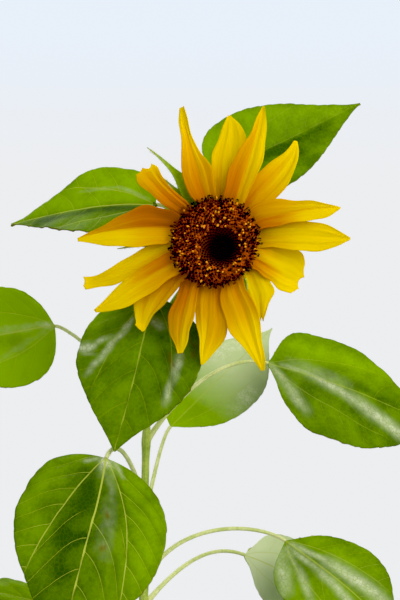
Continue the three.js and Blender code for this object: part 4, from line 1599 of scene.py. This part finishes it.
def add_turned(name, steps, sides, place_at):
    """A closed turned shape. place_at gives right, up and out for each share of the profile and angle."""
    piece = add_grid(name, steps, sides)
    share, around = shares_of(piece)
    move_points(piece, flower_point(*place_at(share, around * math.pi)))
    close_seams(piece, turn_outward=True)
    smooth(piece)
    return piece


def cup_place(share, angle):
    radii, heights = np.array(CUP_PROFILE, float).T
    places = np.linspace(0, 1, len(radii))
    radius = np.interp(share, places, radii)
    return radius * np.cos(angle), radius * np.sin(angle), np.interp(share, places, heights)


def bed_place(share, angle):
    """The disc's face up to the rim's share of the profile, then its edge and its flat back."""
    radius = np.interp(share, [0, *BED_RIM, 1], [0, DISC_RADIUS, DISC_RADIUS, 0])
    right, up, out = disc_place(radius, angle)
    back = smoothstep(share, *BED_RIM)
    return right, up, (out - BED_DEPTH) * (1 - back) + DISC_BACK * back


cup = add_turned("cup", 42, 72, cup_place)
cup.data.materials.append(cup_skin)
settle(cup, ["receptacle"])
bed = add_turned("disc_bed", 60, 90, bed_place)
eye_centre = flower_point(*disc_place(0.0, 0.0))
write_values(bed, "from_eye", np.linalg.norm(points_of(bed) / MM - eye_centre, axis=1))
bed.data.materials.append(bed_skin)
settle(bed, ["head_disc"])
print("cup", len(cup.data.polygons), "faces, bed", len(bed.data.polygons))

# %% [markdown]
# ## Copying a small shape many times
# The disc has more than eight hundred florets and the plant some thousands of hairs. Each kind is modelled
# once, from a primitive with a few dozen faces at most. Its points are then copied to every place, turned to
# the way that each copy points, and joined into one mesh. Every copy takes one of a few plain finishes.

# %% Scatter helper


def shape_of(piece, raised=0.0):
    """Takes a small modelled shape apart into its points, in millimetres, and its faces."""
    points = points_of(piece) / MM + np.array([0, 0, raised])
    faces = [tuple(face.vertices) for face in piece.data.polygons]
    bpy.data.objects.remove(piece)
    return points, faces


def scatter(name, shape, places, axes, sizes, finishes, choices, seed):
    """One joined piece of many copies of a shape, each with a random spin about its own axis."""
    points, faces = shape
    axes = unit(axes)
    helper = np.where(np.abs(axes[:, 2:]) > 0.9, np.array([[1.0, 0, 0]]), np.array([[0, 0, 1.0]]))
    first = unit(np.cross(helper, axes))
    spins = np.random.default_rng(seed).uniform(0, 2 * math.pi, len(places))[:, None]
    sideways = first * np.cos(spins) + np.cross(axes, first) * np.sin(spins)
    basis = np.stack([sideways, np.cross(axes, sideways), axes], 1)
    placed = places[:, None] + np.einsum("npi,nij->npj", points[None] * sizes[:, None, :], basis)
    copied = [tuple(v + i * len(points) for v in face) for i in range(len(places)) for face in faces]
    mesh = bpy.data.meshes.new(name)
    mesh.from_pydata((placed.reshape(-1, 3) * MM).tolist(), [], copied)
    piece = bpy.data.objects.new(name, mesh)
    bpy.context.collection.objects.link(piece)
    for finish in finishes:
        mesh.materials.append(finish)
    mesh.polygons.foreach_set("material_index", np.repeat(choices, len(faces)).astype(np.int32))
    smooth(piece)
    settle(piece)
    print(name, len(places), "copies,", len(copied), "faces")


# %% [markdown]
# ## The florets
# Florets sit in spirals: each one is turned from the last by the golden angle, and the radius grows so that
# all have the same room. Those in the eye are still closed, dark buds. Round them stand the open ones, with
# a small five-lobed cup, a dark column of anthers and, further out, two curled stigmas that hang over the
# rim.
# Some columns are topped with orange pollen.

# %% Places of the florets
FLORET_COUNT = 850
BUD_COUNT = 196
BUD_SPACING = 0.8
FLORET_ROOM = 0.56
GOLDEN_ANGLE = math.radians(137.508)
SLOPE_LEAN = -0.7
RIM_LEAN = 1.4
WOBBLE = 0.16

floret = np.arange(FLORET_COUNT)
floret_radius = np.where(
    floret < BUD_COUNT,
    BUD_SPACING * np.sqrt(floret),
    np.sqrt(EYE_RADIUS**2 + FLORET_ROOM * np.maximum(floret - BUD_COUNT, 0)),
)
floret_angle = floret * GOLDEN_ANGLE
floret_place = flower_point(*disc_place(floret_radius, floret_angle))
slope = disc_rise(floret_radius + 0.5) - disc_rise(floret_radius - 0.5)
lean = SLOPE_LEAN * slope + RIM_LEAN * smoothstep(floret_radius, 15, 22)
rng = np.random.default_rng(5)
wobble = rng.normal(0, WOBBLE, (FLORET_COUNT, 2)) * smoothstep(floret_radius, 9, 14)[:, None]
to_right = lean * np.cos(floret_angle) + wobble[:, 0]
to_up = lean * np.sin(floret_angle) + wobble[:, 1]
floret_axis = flower_way(to_right, to_up, np.ones(FLORET_COUNT))
buds = floret < BUD_COUNT
open_ones = ~buds
print("florets", FLORET_COUNT, "of them buds", BUD_COUNT)

# %% Small shapes of the florets
BUD_RADIUS = 0.5
BUD_STRETCH = 1.5
FLORET_FOOT = 0.46
FLORET_SWELL = 0.26
FLORET_CLOSING = 0.4
FLORET_HEIGHT = 1.5
LOBE_COUNT = 5
LOBE_WIDTH_CHANGE = 0.05
LOBE_HEIGHT_CHANGE = 0.08
COLUMN_HEIGHT = 1.3
COLUMN_FOOT = 0.46
COLUMN_TOP = 0.56
ARM_START = 0.1
ARM_FORK = 1.0
ARM_CURL = 0.42
ARM_TURN = 3.6
POLLEN_RADIUS = 0.45


def bud_shape():
    bpy.ops.mesh.primitive_uv_sphere_add(segments=8, ring_count=5, radius=BUD_RADIUS * MM)
    bpy.context.object.scale = (1, 1, BUD_STRETCH)
    bpy.ops.object.transform_apply(location=False, rotation=False, scale=True)
    return shape_of(bpy.context.object)


def cup_shape():
    """The floret's own cup: it swells, then five short lobes close over it."""
    piece = add_grid("floret_cup", 6, 10)
    up, around = shares_of(piece)
    angle = around * math.pi
    lobes = np.cos(LOBE_COUNT * angle)
    radius = FLORET_FOOT + FLORET_SWELL * np.sin(math.pi * up**1.3) - FLORET_CLOSING * up**6
    radius = radius + LOBE_WIDTH_CHANGE * lobes * up
    height = FLORET_HEIGHT * np.sin(up * math.pi / 2) + LOBE_HEIGHT_CHANGE * lobes * up**3
    move_points(piece, np.stack([radius * np.cos(angle), radius * np.sin(angle), height], 1))
    close_seams(piece)
    return shape_of(piece)


def column_shape():
    foot, top, height = metres(COLUMN_FOOT, COLUMN_TOP, COLUMN_HEIGHT)
    bpy.ops.mesh.primitive_cone_add(vertices=6, radius1=foot, radius2=top, depth=height)
    return shape_of(bpy.context.object, raised=COLUMN_HEIGHT / 2)


def arm_radius(share, angle):
    return 0.25 - 0.08 * share


def stigma_shape():
    """A column that forks into two arms, each curled back on itself."""
    arms = []
    turn = np.linspace(0, ARM_TURN, 30)
    for sign in (-1, 1):
        outward = sign * ARM_CURL * (1 - np.cos(turn))
        curl = np.stack([outward, np.zeros_like(turn), ARM_FORK + ARM_CURL * np.sin(turn)], 1)
        line, _ = even_line(np.concatenate([[[0, 0, ARM_START]], curl]))
        arms.append(add_tube("stigma_arm", line, rings=6, sides=4, radius_at=arm_radius))
    return shape_of(join(arms, "stigma"))


def pollen_shape():
    bpy.ops.mesh.primitive_ico_sphere_add(subdivisions=1, radius=POLLEN_RADIUS * MM)
    return shape_of(bpy.context.object)


print("a bud is", 2 * BUD_RADIUS, "mm wide")

# %% Disc florets
bud_black = plain_finish("bud_black", linear(32, 24, 20), 0.5, 0.18)
floret_black = plain_finish("floret_black", linear(32, 22, 18), 0.6)
floret_dark = plain_finish("floret_dark", linear(116, 58, 28), 0.7)
floret_brown = plain_finish("floret_brown", linear(186, 90, 34), 0.7)
floret_rust = plain_finish("floret_rust", linear(200, 100, 34), 0.7)
pollen_gold = plain_finish("pollen_gold", linear(238, 156, 48), 0.8)
COLUMN_PLACE = 1.15
POLLEN_PLACE = 2.4


def add_florets(
    part, shape, chosen, seed, wide, tall=None, finishes=(), chances=None, choices=None, raised=0, tilt=0
):
    """Copies a small shape to the chosen florets. chances share the finishes out, or choices name them."""
    count = int(chosen.sum())
    axes = floret_axis[chosen]
    places = floret_place[chosen] + unit(axes) * raised
    if tilt:
        axes = axes + rng.normal(0, tilt, (count, 3))
    width = rng.uniform(*wide, count)
    height = rng.uniform(*tall, count) if tall else width
    if chances:
        choices = rng.choice(len(finishes), count, p=chances)
    sizes = np.stack([width, width, height], 1)
    scatter(f"disc_{part}", shape, places, axes, sizes, finishes, choices, seed)


def past(low, high, values):
    """Chance with a rising share: none of the florets below the low value, all above the high one."""
    return rng.uniform(low, high, len(values)) < values


bud_choice = past(10.4, 15, floret_radius[buds]).astype(int)
add_florets("buds", bud_shape(), buds, 11, (0.9, 1.1), finishes=[bud_black, floret_dark], choices=bud_choice)
add_florets(
    "corollas", cup_shape(), open_ones, 12, (1.05, 1.25), (0.8, 1.05),
    [floret_dark, floret_brown, floret_rust], chances=[0.24, 0.48, 0.28],
)
columns = open_ones & (rng.uniform(0, 1, FLORET_COUNT) < 0.5)
add_florets(
    "anthers", column_shape(), columns, 13, (0.85, 1.2), (0.7, 1.35),
    [floret_black, floret_dark], chances=[0.94, 0.06], raised=COLUMN_PLACE,
)
forked = open_ones & past(16, 22.6, floret_radius)
add_florets(
    "stigmas", stigma_shape(), forked, 14, (0.75, 1.15), (1.2, 2.5),
    [floret_black, floret_dark], chances=[0.8, 0.2], raised=COLUMN_PLACE, tilt=0.3,
)
dusted = open_ones & (rng.uniform(0, 1, FLORET_COUNT) < 0.1)
all_alike = np.zeros(int(dusted.sum()), int)
add_florets(
    "pollen", pollen_shape(), dusted, 15, (1.15, 1.6), (1.8, 3.2),
    [pollen_gold], choices=all_alike, raised=POLLEN_PLACE, tilt=0.25,
)

# %% [markdown]
# ## The bracts
# Pointed green bracts clad the cup in rows, like shingles, and their tips show between the petals. Each is a
# small grid shaped like a petal, and all are joined into one piece. A few at the top left are longer and
# stand out beside the petals, so these are listed one by one.

# %% Bract finish
bract_skin, tree = new_material("bract_skin")
colour = mottled(tree, linear(152, 190, 20), linear(188, 216, 44), 6.0, 1.2, 0.4)
toward_tip = ease(tree, attribute(tree, "bract_share"), 0.5, 1.0, 0.0, 0.75)
colour = blend_colours(tree, toward_tip, colour, linear(196, 206, 120))
normal = bump(tree, use_group(tree, grain, Size=0.8, Stretch=1.0)["Height"], 0.3)
face = principled(tree, colour, 0.5, 0.2, normal)
finish_material(tree, let_light_through(tree, face, colour, 0.3))
print("finish", bract_skin.name)

# %% Bract table
BRACT_PLACES = (0, 0.12, 0.28, 0.5, 0.74, 0.9, 1)
USUAL_BRACT = {
    "turn": 0,
    "bend": 0,
    "hook": 0,
    "roll": 0,
    "twist": 0,
    "ring": 24,
    "widths": (0.72, 0.9, 1.0, 0.86, 0.5, 0.22, 0.03),
}
SPEAR = (0.95, 1.0, 0.78, 0.32, 0.14, 0.08, 0.03)
BRACT_ROWS = [
    {"count": 15, "first": 4, "ring": 18.5, "setting": -9.2, "length": 28, "width": 9,
     "lift": 26, "curl": -32},
    {"count": 14, "first": 17, "ring": 13.5, "setting": -11.4, "length": 27, "width": 9.5,
     "lift": 27, "curl": -38},
    {"count": 11, "first": 30, "ring": 8, "setting": -12.8, "length": 23, "width": 9,
     "lift": 20, "curl": -32},
]
BRACTS_BY_HAND = [
    {"at": 117, "turn": 6, "bend": 22, "length": 43, "width": 12, "setting": -3.2, "lift": 12,
     "curl": -10, "widths": SPEAR},
    {"at": 125, "turn": 12, "bend": 2, "length": 25, "width": 8, "setting": -4.2, "lift": 4, "curl": 0,
     "widths": SPEAR},
    {"at": 131, "turn": -18, "bend": -42, "length": 25, "width": 3.4, "setting": -5, "lift": 2, "curl": 0},
    {"at": 179, "turn": 6, "bend": 6, "length": 32, "width": 8, "setting": -4.2, "lift": 2, "curl": 0,
     "widths": SPEAR},
    {"at": -57, "turn": 4, "length": 9, "width": 7, "setting": -2, "lift": 8, "curl": 0},
]
NEAR_ANGLE = 20
DROOP = 1.3
DROOP_START = -2


def drooped(values, angle):
    """The row's bract, kept behind the petals near it, which may hang back."""
    near = [p.lift + p.curl / 2 for p in petals if abs((p.at - angle + 180) % 360 - 180) < NEAR_ANGLE]
    hanging = min(0, min(near, default=0) - DROOP_START)
    return {**values, "lift": values["lift"] + DROOP * hanging}


bracts = [SimpleNamespace(**{**USUAL_BRACT, **values}) for values in BRACTS_BY_HAND]
bract_rng = np.random.default_rng(21)
for row in BRACT_ROWS:
    for i in range(row["count"]):
        angle = row["first"] + 360 * i / row["count"] + bract_rng.uniform(-5, 5)
        values = drooped(row, angle)
        values["length"] = row["length"] * bract_rng.uniform(0.85, 1.1)
        values["at"] = angle
        values["bend"] = bract_rng.uniform(-12, 12)
        bracts.append(SimpleNamespace(**{**USUAL_BRACT, **values}))
print("bracts", len(bracts))

# %% Bracts
BRACT_THICKNESS = 0.45
BRACT_STEPS = 30
BRACT_STRIPS = 12
BRACT_CUPPING = 0.34
BRACT_FLAT_HALF = 1.4
BRACT_GROOVE = 0.22
BRACT_GROOVE_HALF = 0.2
BRACT_SUNK_FOOT = 1.2
BRACT_FOOT_SHARE = 0.14


def half_width(bract, share):
    return bract.width / 2 * through(BRACT_PLACES, bract.widths, share)


def add_bract(number, bract):
    piece = add_grid(f"bract_{number}", BRACT_STEPS, BRACT_STRIPS)
    share, side = shares_of(piece)
    middle, _, sideways, outward = walked_at(bract, bract.ring, share)
    width = half_width(bract, share) * side
    height = BRACT_CUPPING * (np.hypot(width, BRACT_FLAT_HALF) - BRACT_FLAT_HALF)
    height = height - BRACT_GROOVE * np.exp(-((side / BRACT_GROOVE_HALF) ** 2)) * (1 - share)
    height = height - BRACT_SUNK_FOOT * (1 - smoothstep(share, 0, BRACT_FOOT_SHARE))
    local = middle + sideways * width[:, None] + outward * height[:, None]
    move_points(piece, flower_point(*local.T))
    write_values(piece, "bract_share", share)
    apply_modifier(piece, "SOLIDIFY", thickness=BRACT_THICKNESS * MM, offset=-1)
    piece.data.materials.append(bract_skin)
    return piece


bract_piece = join([add_bract(i, bract) for i, bract in enumerate(bracts, start=1)], "bracts")
smooth(bract_piece)
settle(bract_piece)
print("bracts", len(bract_piece.data.polygons), "faces")

# %% [markdown]
# ## Hairs
# Stem, stalks and bracts are covered in short pale bristles. One bristle is a cone of three faces. The places
# are drawn at random over the surface, and each bristle leans a little toward the limb's tip.

# %% Hairs
HAIR_RADIUS = 0.07
HAIR_SUNK = 0.05
HAIR_LEAN = 0.35
HAIR_CHANCE = 0.2
STEM_HAIR_COUNT = 2200
STALK_HAIRS_PER_MM = 2
BRACT_HAIRS_PER_MM = 3


def hair_shape():
    bpy.ops.mesh.primitive_cone_add(
        vertices=3, radius1=HAIR_RADIUS * MM, depth=1 * MM, end_fill_type="NOTHING"
    )
    return shape_of(bpy.context.object, raised=0.5)


def limb_hairs(line, radius_at, count, start):
    """Places and directions of bristles all round a stem or stalk, leaning toward its tip."""
    share, angle = rng.uniform(start, 1, count), rng.uniform(-math.pi, math.pi, count)
    along, first, second = (along_line(values, share) for values in carried_frames(line))
    out = ring_way(first, second, angle)
    places = along_line(line, share) + out * (radius_at(share, angle) - HAIR_SUNK)[:, None]
    return places, out + HAIR_LEAN * along + rng.normal(0, HAIR_CHANCE, (count, 3))


def bract_edge_hairs(bract, count):
    """Places and directions of fine hairs along both edges of a bract."""
    share, side = rng.uniform(0.05, 0.95, count), rng.choice([-1, 1], count)
    middle, forward, sideways, outward = walked_at(bract, bract.ring, share)
    width = half_width(bract, share) * side * rng.uniform(0.75, 1, count)
    local = middle + sideways * width[:, None] + outward * (0.28 * np.abs(width))[:, None]
    way = sideways * side[:, None] + forward * 0.6 + outward * rng.uniform(-0.5, 0.5, count)[:, None]
    return flower_point(*local.T), flower_way(*way.T)


def add_hairs(part, spots, low, high, seed):
    places, ways = (np.concatenate(values) for values in zip(*spots))
    sizes = np.ones((len(places), 3))
    sizes[:, 2] = rng.uniform(low, high, len(places))
    all_alike = np.zeros(len(places), int)
    scatter(f"{part}_hairs", hair_shape(), places, ways, sizes, [bristle_skin], all_alike, seed)


stem_spots = [limb_hairs(stem_line, stem_radius, STEM_HAIR_COUNT, start=0.02)]
add_hairs("stem", stem_spots, 0.7, 1.5, seed=31)
stalk_spots = [
    limb_hairs(line, stalk_radius(length), round(length * STALK_HAIRS_PER_MM), start=0.03)
    for line, length in stalk_lines.values()
]
add_hairs("stalk", stalk_spots, 0.5, 1.1, seed=32)
bract_spots = [bract_edge_hairs(bract, round(bract.length * BRACT_HAIRS_PER_MM)) for bract in bracts]
add_hairs("bract", bract_spots, 0.7, 1.7, seed=33)
